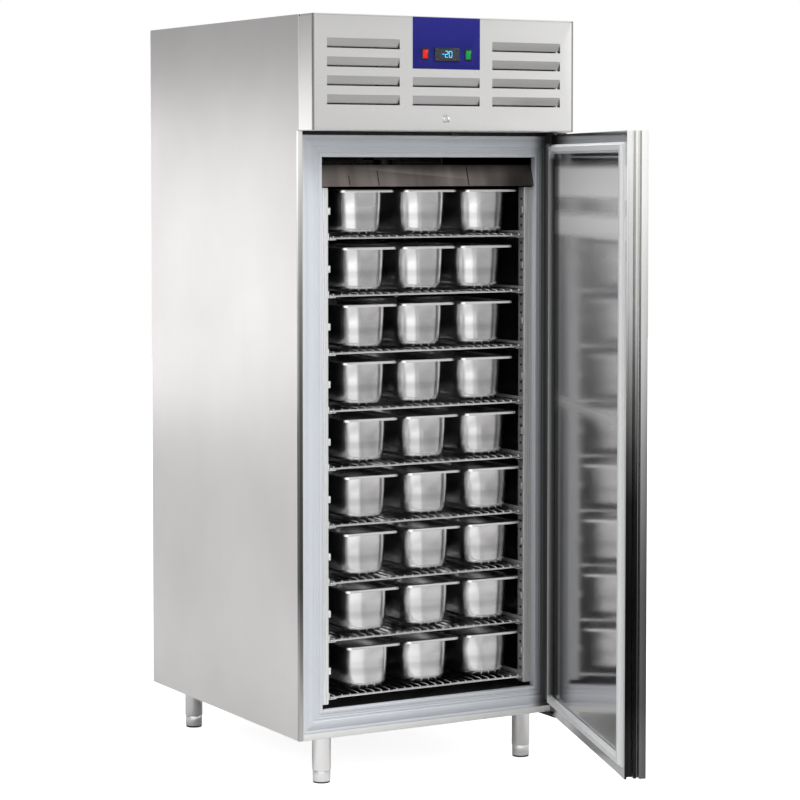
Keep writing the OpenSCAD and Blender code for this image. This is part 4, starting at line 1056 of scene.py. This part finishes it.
def skin_outline():
    front, back = DOOR_Y
    grip = [(-HALF, back - 6 * MM), (-HALF + GRIP_IN, back - 6 * MM),
            (-HALF + GRIP_IN, back - GRIP_DEEP), (-HALF + LIP_IN, back - GRIP_DEEP - 0.6 * MM),
            (-HALF + LIP_IN, back - RIB_DEEP + 0.4 * MM), (-HALF + RIB_IN, back - RIB_DEEP),
            (-HALF + RIB_IN, back - 37 * MM), (-HALF, back - 37 * MM)]
    hollow = [(HALF - MARGIN, back), (HALF - MARGIN - BEVEL, back - HOLLOW),
              (-HALF + MARGIN + BEVEL, back - HOLLOW), (-HALF + MARGIN, back)]
    loop = [(0, front), (HALF, front), (HALF, back)] + hollow + [(-HALF, back)] + grip
    loop += [(-HALF, front), (0, front)]
    return [tuple(p) for p in bent([Vector(p) for p in loop], 1.8 * MM, 4)][:-1]


skin = drawn_out(skin_outline(), *DOOR_Z)
mesh = mesh_from("door_folded", *skin, door_steel, 60)
mesh.materials.append(grip_steel)
mesh.materials.append(lip_steel)
# Painted shade: the grip's and the lip's faces take the darker steels.
for face in mesh.polygons:
    if face.center.x < GRIP_EDGE and face.normal.y < 0.9:
        face.material_index = 1 if face.center.y > RIB_EDGE else 2
mesh.transform(OPENED)
add_piece("door_folded", mesh, "door", ["door_skin"])
core = swung(block((-HALF + 25 * MM, DOOR_Y[0] + 2 * MM, DOOR_Z[0] + 3 * MM),
                   (HALF - 3 * MM, DOOR_Y[1] - 6 * MM, DOOR_Z[1] - 3 * MM)))
add_part("door_core", core, foam_yellow, "door", ["door_foam"])
print("door skin:", len(skin[0]) // 2, "points round its outline")

# %% [markdown]
# The inner sheet is pressed: its field lies a little deeper than its margin, behind a soft
# step. Rings of a round rectangle make it, each with its depth. The gasket is a rubber
# profile, welded at the corners: a heel, two bellows and a flat bead that holds the
# magnet.

# %% Inner sheet and gasket
sheet_face = DOOR_Y[1]
sheet_w, sheet_h = 2 * (HALF - SHEET), DOOR_Z[1] - DOOR_Z[0] - 2 * SHEET
sheet_mid = (DOOR_Z[0] + DOOR_Z[1]) / 2
LEVELS = [(0, -5.2, 2), (0, 0.02, 2), (42, 0.02, 6), (47, -0.5, 8), (52, -2.6, 10),
          (57, -3.2, 12), (62, -3.2, 14)]
rings = []
for inset, depth, corner in LEVELS:
    outline = round_rectangle(sheet_w - 2 * inset * MM, sheet_h - 2 * inset * MM, corner * MM, 5)
    rings.append([(a, sheet_face + depth * MM, sheet_mid + b) for a, b in outline])
add_part("door_inner", swung(loft(rings)), door_sheet, "door", ["door_liner"], smooth=25)

GASKET = [(0, 0.02), (0, 3.4), (0.8, 4.0), (4.2, 4.2), (5.0, 5.2), (4.4, 7.0), (5.2, 8.8),
          (5.0, 11.6), (6.2, 13.0), (10, 12.7), (12.5, 13.0), (15, 12.7), (18.8, 13.0),
          (20, 11.6), (19.8, 8.8), (20.6, 7.0), (20.0, 5.2), (20.8, 4.2), (24.2, 4.0),
          (25, 3.4), (25, 0.02)]
section = [(inset * MM, sheet_face + height * MM) for inset, height in GASKET]
GASKET_X, GASKET_Z = 386 * MM, (151 * MM, 1695 * MM)
part = swung(mitred(section, (-GASKET_X, GASKET_Z[0]), (GASKET_X, GASKET_Z[1])))
add_part("gasket_profile", part, gasket_rubber, "door", ["door_gasket"], smooth=50)
print("gasket box:", place("door_gasket"))

# %% [markdown]
# ## Pans
# A pan is deep drawn from one sheet, so nothing about it is sharp: its corners, its bottom
# edge and the bend into the rim are all round. The section is a row of rings. Each ring is
# a rectangle with round corners, given by how far it stands in from the rim, its corner
# radius and its height. The rings run up the outside, over the rim and down the inside.
# The table of the rim says, for each ring, its share of the way from the body's mouth to
# the rim's outline, then how far it stands in and how far it lies under the top, both in
# thicknesses of the sheet.

# %% One pan
SHELVES = range(1, 10)
PAN_W, PAN_L, PAN_H, PAN_T = 165 * MM, 360 * MM, 120 * MM, 1 * MM
SIDE_RIM, END_RIM = 10 * MM, 18 * MM
PAN_CORNER, RIM_CORNER = 53 * MM, 14 * MM
PAN_TAPER = 5 * MM
BOTTOM_BEND = 19 * MM
WALL_LEVELS = (PAN_H * 0.6, PAN_H - 4 * PAN_T)
RIM = [(0.06, 0, 1.6), (0.20, 1, 1), (1.0, 1.6, 1), (1.0, 1, 2), (1.0, 1, 7), (1.0, 0, 7),
       (1.0, 0, 1.6), (1.0, 0.5, 0.5), (1.0, 1.6, 0), (0.18, 0, 0), (0.04, 0, 0.8)]


def pan_part():
    body_w, body_l = PAN_W - 2 * SIDE_RIM, PAN_L - 2 * END_RIM

    def wall_ring(inset, z, radius):
        lean = PAN_TAPER * (1 - z / PAN_H)
        w, l = body_w - 2 * (lean + inset), body_l - 2 * (lean + inset)
        return [(x, y, z) for x, y in round_rectangle(w, l, radius)]

    def rim_ring(share, inset, z):
        """Between the body's mouth, share 0, and the rim's outline, share 1."""
        inner = round_rectangle(body_w, body_l, PAN_CORNER)
        outer = round_rectangle(PAN_W - 2 * inset, PAN_L - 2 * inset, RIM_CORNER)
        return [(a[0] + (b[0] - a[0]) * share, a[1] + (b[1] - a[1]) * share, z)
                for a, b in zip(inner, outer)]

    def bottom_ring(a, skin):
        """A ring of the bottom's bend at the angle a: skin is 0 outside, PAN_T inside."""
        inset, z = BOTTOM_BEND * (1 - math.sin(a)), BOTTOM_BEND * (1 - math.cos(a))
        return wall_ring(inset + skin * math.sin(a), z + skin, PAN_CORNER - skin - 0.7 * inset)

    bends = [math.pi / 2 * i / 6 for i in range(7)]
    outside = [bottom_ring(a, 0) for a in bends]
    outside += [wall_ring(0, z, PAN_CORNER) for z in WALL_LEVELS]
    rim = [rim_ring(share, inset * PAN_T, PAN_H - drop * PAN_T) for share, inset, drop in RIM]
    inside = [wall_ring(PAN_T, z, PAN_CORNER - PAN_T) for z in reversed(WALL_LEVELS)]
    inside += [bottom_ring(a, PAN_T) for a in reversed(bends)]
    return loft(outside + rim + inside)


one_pan = pan_part()
print("a pan has", len(one_pan[1]), "faces")

# %% [markdown]
# Six pans stand on each shelf, three across and two deep, and nobody set them down quite
# evenly. The CAD model knows where each one stands: `solids` finds its separate solids, a
# point goes to each place, and the tree puts a pan on every point. The pans of a shelf are
# one piece, because they slide out with it. Each of its points keeps its share of a pan's
# height, which the pans' finish reads: a painted highlight makes the rim brighter, and a
# dark line of painted reflection goes round where the walls mirror the next shelf.


# %% Where the pans stand
def solids(node):
    """The box of every separate solid in a CAD node, as (low, high) corners."""
    bm = welded(node)
    left, boxes = set(bm.verts), []
    while left:
        todo, solid = [left.pop()], []
        while todo:
            vert = todo.pop()
            solid.append(vert.co.copy())
            fresh = {e.other_vert(vert) for e in vert.link_edges} & left
            left -= fresh
            todo += fresh
        boxes.append(([min(c[i] for c in solid) for i in range(3)],
                      [max(c[i] for c in solid) for i in range(3)]))
    bm.free()
    return sorted(boxes)


print("solids in the first set of pans:", len(solids("pans_1")))

# %% Pans on their shelves
for k in SHELVES:
    spots = [(*middle(low, high)[:2], low[2]) for low, high in solids(f"pans_{k}")]
    mesh = planted(f"pan_set_{k}", one_pan, pan_steel, spots, 50)
    # The share of a pan's height, read by the pans' painted highlight and reflection.
    height = mesh.attributes.new("height", "FLOAT", "POINT")
    for vert in mesh.vertices:
        height.data[vert.index].value = (vert.co.z - spots[0][2]) / PAN_H
    add_piece(f"pan_set_{k}", finished(mesh, pan_steel, 50), f"shelf_{k}", [f"pans_{k}"])
print("a shelf has", len(spots), "pans with", len(mesh.polygons), "faces")

# %% [markdown]
# ## Wire shelves
# The shelf is welded from round wire. Thin wires run from back to front, bend down over
# the front rod and end on it; thicker rods carry them. A wire is a tube round a short
# path, and the first tree sets the wires side by side. The rods are straight tubes.

# %% One wire and the rods
WIRE_R, ROD_R = 2 * MM, 3 * MM
WIRE_STEP, NOSE_BEND = 24 * MM, 4 * MM
NOSE_GAP = 0.6 * MM


def tube(path, radius, steps=8, side=(1, 0, 0)):
    """A tube along a path that stays in one plane, square to side."""
    rings = []
    side = Vector(side)
    for i, p in enumerate(path):
        before, after = Vector(path[max(i - 1, 0)]), Vector(path[min(i + 1, len(path) - 1)])
        up = side.cross((after - before).normalized())
        rings.append([tuple(Vector(p) + side * x + up * y) for x, y in circle(radius, steps)])
    return loft(rings)


def wire_path(front, rear, top):
    """From the back to the nose, which bends down over the front rod."""
    path = [(0, rear, top - WIRE_R), (0, front + WIRE_R + NOSE_BEND, top - WIRE_R)]
    for i in range(1, 5):
        a = math.pi / 2 * i / 4
        path.append((0, front + WIRE_R + NOSE_BEND * (1 - math.sin(a)),
                     top - WIRE_R - NOSE_BEND * (1 - math.cos(a))))
    return path


def shelf_rods(low, high):
    """Two rods along the sides and four across."""
    z = low[2] + ROD_R
    left, right = low[0] + ROD_R, high[0] - ROD_R
    front, rear = low[1] + ROD_R + NOSE_GAP, high[1] - ROD_R
    third = (rear - front) / 3
    rods = [tube([(x, front, z), (x, rear, z)], ROD_R) for x in (left, right)]
    rods += [tube([(left, y, z), (right, y, z)], ROD_R, side=(0, 1, 0))
             for y in (front, front + third, front + 2 * third, rear)]
    return joined(rods)


print("a wire every", WIRE_STEP / MM, "mm")

# %% [markdown]
# A weld leaves a small bright bead where a wire crosses the front rod. The beads are
# flattened spheres, turned on the lathe, copied by the same tree and joined to the shelf.

# %% Shelves
BEAD_R, BEAD_SQUASH = 2.6 * MM, 0.7
arc = [math.pi * i / 5 for i in range(1, 5)]
bead = lathe([(BEAD_R * math.sin(a), -BEAD_R * BEAD_SQUASH * math.cos(a)) for a in arc], 8)
for k in SHELVES:
    low, high = place(f"wire_shelf_{k}")
    count = 2 * math.floor((high[0] - ROD_R * 2) / WIRE_STEP) + 1
    first = -(count - 1) / 2 * WIRE_STEP
    wire_part = tube(wire_path(low[1], high[1], high[2]), WIRE_R)
    weld_at = (first, low[1] + ROD_R + NOSE_GAP, high[2] - 2 * WIRE_R - 0.5 * MM)
    wires = in_a_row("wires", wire_part, wire_steel, count, WIRE_STEP, (first, 0, 0))
    beads = in_a_row("beads", bead, wire_steel, count, WIRE_STEP, weld_at)
    rods = mesh_from("rods", *shelf_rods(low, high), wire_steel)
    shelf = merged(f"wire_rack_{k}", [wires, beads, rods], wire_steel, 40)
    add_piece(f"wire_rack_{k}", shelf, f"shelf_{k}", [f"wire_shelf_{k}"])
print("a shelf has", count, "wires and", len(shelf.polygons), "faces")

# %% [markdown]
# ## Rack
# An upright is a channel folded from sheet, with a row of slots that the runners' hooks
# fit. `ribbon` draws its section, and a Boolean cuts the slots. The two on the right mirror
# the two on the left, so the same outline is used with its x turned round.

# %% Uprights and runners
low, high = place("rack_uprights")
FACE_X, UPRIGHT_DEEP, UPRIGHT_WALL = 304 * MM, 30 * MM, 1.6 * MM
SLOT_STEP, SLOT_LONG, SLOT_HIGH, SLOT_COUNT = 24 * MM, 12 * MM, 6 * MM, 56
uprights = []
for side in (-1, 1):
    x = FACE_X * side
    for y in (low[1], high[1] - UPRIGHT_DEEP):
        slot_y = y + (UPRIGHT_DEEP - SLOT_LONG) / 2
        path = [(high[0] * side, y), (x, y), (x, y + UPRIGHT_DEEP),
                (high[0] * side, y + UPRIGHT_DEEP)]
        outline = ribbon(bent(path, FOLD, 3), UPRIGHT_WALL * -side)
        slots = [block((x - 4 * MM, slot_y, z), (x + 4 * MM, slot_y + SLOT_LONG, z + SLOT_HIGH))
                 for z in (low[2] + 12 * MM + i * SLOT_STEP for i in range(SLOT_COUNT))]
        uprights.append(cut("upright", drawn_out(outline, low[2], high[2]), slots, rack_steel))
rack = merged("slotted_uprights", uprights, rack_steel)
add_piece("slotted_uprights", rack, "root", ["rack_uprights"])
eased("shelf_runners", 0.4 * MM)
print("uprights:", len(rack.polygons), "faces")

# %% [markdown]
# The evaporator cover is a folded sheet with seams. Fine dark strips on its slope draw the
# seams. The small catch over the door is two plain blocks, and the rail, legs, feet and
# hinge brackets only need eased edges. Each foot stands on a rubber pad, turned on the lathe.

# %% Cover, catch, rail and feet
eased("evaporator_cover", 0.8 * MM, 3)
low, high = place("evaporator_cover")
COVER_SLOPE, SEAM_W = 0.31, 2.2 * MM
for x, top in ((-245 * MM, 1612 * MM), (-157 * MM, 1625 * MM), (121 * MM, 1640 * MM)):
    slope = [Vector((low[1] - 0.1 * MM, low[2] + 2 * MM)),
             Vector((low[1] + (top - low[2]) * COVER_SLOPE - 0.1 * MM, top))]
    seam = drawn_out(ribbon(slope, -0.3 * MM), x, x + SEAM_W, "x")
    add_part("cover_seam", seam, deck_sheet, "root")
_, y, z = place("unit_deck")[0]
catch = [block((62 * MM, y - 5 * MM, z + MM), (66 * MM, y, z + 8 * MM)),
         block((66 * MM, y - 5 * MM, z + MM), (84 * MM, y - 3 * MM, z + 5 * MM))]
add_part("catch", joined(catch), black_paint, "root")
for node, radius in (("base_panel", 0.8), ("leg_tubes", 0.8), ("levelling_feet", 1.2),
                     ("hinge_brackets", 0.8)):
    eased(node, radius * MM)
low, high = place("levelling_feet")
PAD_R, PAD_TOP, PAD_IN = 22.7 * MM, 4.8 * MM, 23.5 * MM
points, faces = lathe([(PAD_R - MM, 0.2 * MM), (PAD_R, MM), (PAD_R, PAD_TOP)], 32)
pads = [([(x + pad_x, y + pad_y, z) for x, y, z in points], faces)
        for pad_x in (low[0] + PAD_IN, high[0] - PAD_IN)
        for pad_y in (low[1] + PAD_IN, high[1] - PAD_IN)]
add_part("foot_pads", joined(pads), pad_rubber, "root")
print("pads under the feet:", len(pads))

# %% [markdown]
# ## Back and cooling unit
# The rear sheet has rows of vents. A small blade hangs in each, so that no light falls
# straight through the machine room. Round screw heads hold the sheet along its edges.

# %% Back panel
low, high = place("back_panel")
VENT_HALF, VENT_FOOT, VENT_ROWS, VENT_STEP = 59 * MM, 1816 * MM, 9, 24 * MM
hood = drawn_out([(0, 0), (-6 * MM, -8.5 * MM), (-5 * MM, -9.2 * MM), (0, -0.8 * MM)],
                 -VENT_HALF, VENT_HALF, "x")
spots = [(x * MM, low[1], VENT_FOOT + row * VENT_STEP) for row in range(VENT_ROWS)
         for x in (-225, -75, 75, 225)]
blades = planted("rear_blades", hood, zinc_sheet, spots)
add_piece("rear_blades", blades, "root")

DOME = [(3.6 * MM, 0), (3.2 * MM, 0.7 * MM), (1.8 * MM, 1.3 * MM), (0.2 * MM, 1.5 * MM)]
SCREW_IN = 12 * MM
head = turned_front(DOME, 0, 0, 20)
spots = [(x, high[1], z * MM) for x in (low[0] + SCREW_IN, high[0] - SCREW_IN)
         for z in range(160, 2020, 230)]
screws = planted("rear_screws", head, lock_chrome, spots)
add_piece("rear_screws", screws, "root")
print(len(spots), "screws hold the rear sheet")

# %% [markdown]
# A coil is a pack of thin fins on copper tubes. The first tree sets the fins side by side;
# the tubes come out at both ends. The fan's guard is a set of wire rings, each a loft that
# closes on itself.

# %% Fins and fan guard
COIL_END, FIN, TUBE_PITCH, TUBE_R = 12 * MM, 0.5 * MM, 25 * MM, 4 * MM
for node, step in (("condenser_coil", 4 * MM), ("evaporator_coil", 6 * MM)):
    low, high = place(node)
    count = int((high[0] - low[0] - 2 * COIL_END) / step)
    fin = block((0, low[1] + MM, low[2] + MM), (FIN, high[1] - MM, high[2] - MM))
    fins = in_a_row("fins", fin, fin_metal, count, step, (low[0] + COIL_END, 0, 0))
    ends = [mesh_from("end", *block((x, low[1], low[2]), (x + MM, high[1], high[2])), fin_metal)
            for x in (low[0] + 10 * MM, high[0] - 11 * MM)]
    pack = merged(f"{node}_fins", [fins, *ends], fin_metal)
    add_piece(f"{node}_fins", pack, BODY_OF[node], [node])
    rows = int((high[2] - low[2]) / TUBE_PITCH)
    runs = [tube([(low[0], y, z), (high[0], y, z)], TUBE_R, 10, (0, 1, 0))
            for y in (low[1] + 12 * MM, high[1] - 12 * MM)
            for z in (low[2] + (i + 0.5) * (high[2] - low[2]) / rows for i in range(rows))]
    add_part(f"{node}_tubes", joined(runs), copper, BODY_OF[node])

GUARD_R, GUARD_WIRE = (30, 50, 70, 90, 104), 1.2 * MM
guard_y = place("condenser_fan_motor")[1][1] - 3 * MM
hub_x, _, hub_z = middle(*place("condenser_fan"))
rings = []
for radius in (r * MM for r in GUARD_R):
    rings.append(loft([[(hub_x + x + x / radius * a, guard_y + b, hub_z + z + z / radius * a)
                        for a, b in circle(GUARD_WIRE, 6)] for x, z in circle(radius, 40)],
                      closed=True))
add_part("fan_guard", joined(rings), wire_steel, "root")
for node, radius in (("electrical_box", 2), ("compressor", 1.5)):
    eased(node, radius * MM)
print("guard of", len(rings), "rings")

# %% [markdown]
# ## Light
# The studio is plain: a pale floor, a pale world and large soft lamps. Steel shows what
# surrounds it, so for mirrored rays the world is pale at the height of the eye and falls
# off above it, more so behind the cabinet. For the light that it sheds, it is brighter
# overhead, as a white ceiling is.

# %% World
WHITE = (1, 1, 1, 1)
FRONT_RIGHT, BACK_LEFT = (0.476, -0.878, 0.0), (-0.476, 0.878, 0.0)
FRONT_AND_UP = (0.0, -0.96, 0.28)


def rays(g):
    """1 for rays from the camera or through glass, and 1 for mirrored rays."""
    ray = g.add("ShaderNodeLightPath").outputs
    plain = g.math("MAXIMUM", ray["Is Camera Ray"], ray["Is Transmission Ray"])
    return plain, ray["Is Glossy Ray"]


def towards(g, way, heading, past, gain):
    """How much a direction points to a heading: 0 up to past, then rising to 1."""
    over = g.math("SUBTRACT", g.vector("DOT_PRODUCT", way, heading), past)
    return g.math("MULTIPLY", over, gain, clamp=True)


def as_share(g, value):
    """Turns a value between -1 and 1 into a share between 0 and 1."""
    return g.math("ADD", g.math("MULTIPLY", value, 0.5), 0.5)


world = bpy.data.worlds.new("studio")
bpy.context.scene.world = world
world.use_nodes = True
g = Graph(world.node_tree)
plain_ray, mirrored_ray = rays(g)
direction = g.add("ShaderNodeTexCoord").outputs["Generated"]
height = g.add("ShaderNodeSeparateXYZ", {0: direction}).outputs["Z"]
level = as_share(g, height)
compass = g.vector("NORMALIZE", g.vector("MULTIPLY", direction, (1, 1, 0)))
front_left = g.ramp(level, [(0.0, 0.40), (0.44, 0.60), (0.485, 1.05), (0.55, 1.2),
                            (0.68, 1.1), (0.80, 0.60), (1.0, 0.9)])
front_right = g.ramp(level, [(0.0, 0.20), (0.44, 0.28), (0.485, 0.80), (0.54, 0.98),
                             (0.59, 0.48), (0.72, 0.16), (0.85, 0.3), (1.0, 0.6)])
behind = g.ramp(level, [(0.0, 0.40), (0.44, 0.50), (0.485, 0.45), (0.51, 0.34), (0.55, 0.24),
                        (0.80, 0.35), (1.0, 0.6)])

before = g.mix(towards(g, compass, FRONT_RIGHT, 0.88, 9.0), front_left, front_right)
mirrored = g.mix(towards(g, compass, BACK_LEFT, 0.0, 1.4), before, behind)
overhead = g.ramp(level, [(0.0, 0.12), (0.5, 0.14), (0.75, 0.55), (1.0, 1.3)])
ahead = g.math("POWER", towards(g, direction, FRONT_AND_UP, 0.0, 1.0), 3.0)
shed = g.mix(1.0, overhead, g.ramp(ahead, [(0.0, 0.0), (1.0, 1.0)]), "ADD")
lit, glossy, white = (g.add("ShaderNodeBackground", {"Color": colour, "Strength": 1.0})
                      for colour in (shed, mirrored, WHITE))
either = g.add("ShaderNodeMixShader", {0: mirrored_ray, 1: lit.outputs[0],
                                       2: glossy.outputs[0]})
all_rays = g.add("ShaderNodeMixShader", {0: plain_ray, 1: either.outputs[0],
                                         2: white.outputs[0]})
g.add("ShaderNodeOutputWorld", {"Surface": all_rays.outputs[0]})
print("world:", len(g.nodes), "nodes")

# %% [markdown]
# The floor is white where nothing shades it. To the camera it adds its own white to the
# light that falls on it, so the open floor joins the white world without a line, and the
# soft shadow under the cabinet stays. Mirrored rays see a white part of it in front on the
# left, as by a tall window: it makes the white band on the round corner of every pan.

# %% Floor
FLOOR_HALF, FLOOR_Z = 14.0, -0.2 * MM
WINDOW_WAY, REAR_WAY = (-0.42, -0.907, 0), (-0.35, 0.7, 0.0)
floor_paint, g, shader = finish_of("floor_paint", Roughness=0.9, Specular_IOR_Level=0.1)
ground = g.coordinates()
rearward = g.vector("DOT_PRODUCT", ground, REAR_WAY)
away = g.vector("LENGTH", ground)
near = g.ramp(g.math("MULTIPLY", away, 0.4), [(0.40, 1.0), (0.75, 0.0)])
tone = g.ramp(as_share(g, rearward), [(0.1, 0.24), (0.8, 0.66)])
wire(g, shader, Base_Color=g.mix(near, tone, (0.60, 0.60, 0.60)))
plain_ray, mirrored_ray = rays(g)
way = g.vector("NORMALIZE", ground)
window = g.math("MULTIPLY", towards(g, way, WINDOW_WAY, 0.86, 14), 1.3)
beside = g.math("MULTIPLY", towards(g, way, FRONT_RIGHT, 0.80, 8), 0.16)
far = g.ramp(g.math("MULTIPLY", away, 0.1), [(0.12, 0.2), (0.5, 0.6), (1.0, 1.0)])
mirrored = g.math("MULTIPLY", g.math("ADD", window, beside), far)
own = g.math("ADD", g.math("MULTIPLY", plain_ray, 0.84),
             g.math("MULTIPLY", mirrored_ray, g.math("ADD", mirrored, 0.04)))
white = g.add("ShaderNodeEmission", {"Color": WHITE, "Strength": own})
both = g.add("ShaderNodeAddShader", {0: shader.outputs[0], 1: white.outputs[0]})
g.feed(g.nodes["Material Output"].inputs["Surface"], both.outputs[0])

floor_mesh = bpy.data.meshes.new("floor")
floor_mesh.from_pydata([(x * FLOOR_HALF, y * FLOOR_HALF, FLOOR_Z)
                        for x, y in ((-1, -1), (1, -1), (1, 1), (-1, 1))], [], [(0, 1, 2, 3)])
floor_mesh.materials.append(floor_paint)
floor = added("floor", floor_mesh)
print("floor:", 2 * FLOOR_HALF, "m across")

# %% [markdown]
# Three soft lamps do the rest. The key hangs high in front, so the header shades the top of
# the frame below it. It isn't mirrored, so the header doesn't glare when it is lifted. A
# weak one fills from the right, and the last stands behind on the left: the brushed side
# shows it as a broad pale band that fades upwards and downwards.


# %% Lamps
def soft_lamp(name, at, aim, size, watts):
    lamp = bpy.data.lights.new(name, "AREA")
    lamp.shape = "RECTANGLE"
    lamp.size, lamp.size_y = size
    lamp.energy = watts
    holder = added(name, lamp)
    holder.location = at
    holder.rotation_euler = (Vector(aim) - Vector(at)).to_track_quat("-Z", "Y").to_euler()
    holder.visible_camera = False
    return holder


key = soft_lamp("key_lamp", (0.2, -2.0, 4.7), (0, -0.4, 1.0), (3.2, 1.8), 120)
key.visible_glossy = False
right = soft_lamp("right_panel", (3.4, -3.6, 1.9), (0, -0.2, 1.2), (1.6, 1.8), 5)
back = soft_lamp("rear_panel", (-1.9, 1.9, 1.30), (-0.4, 0.0, 1.30), (1.8, 1.15), 7.0)
print("lamps:", key.name, right.name, back.name)
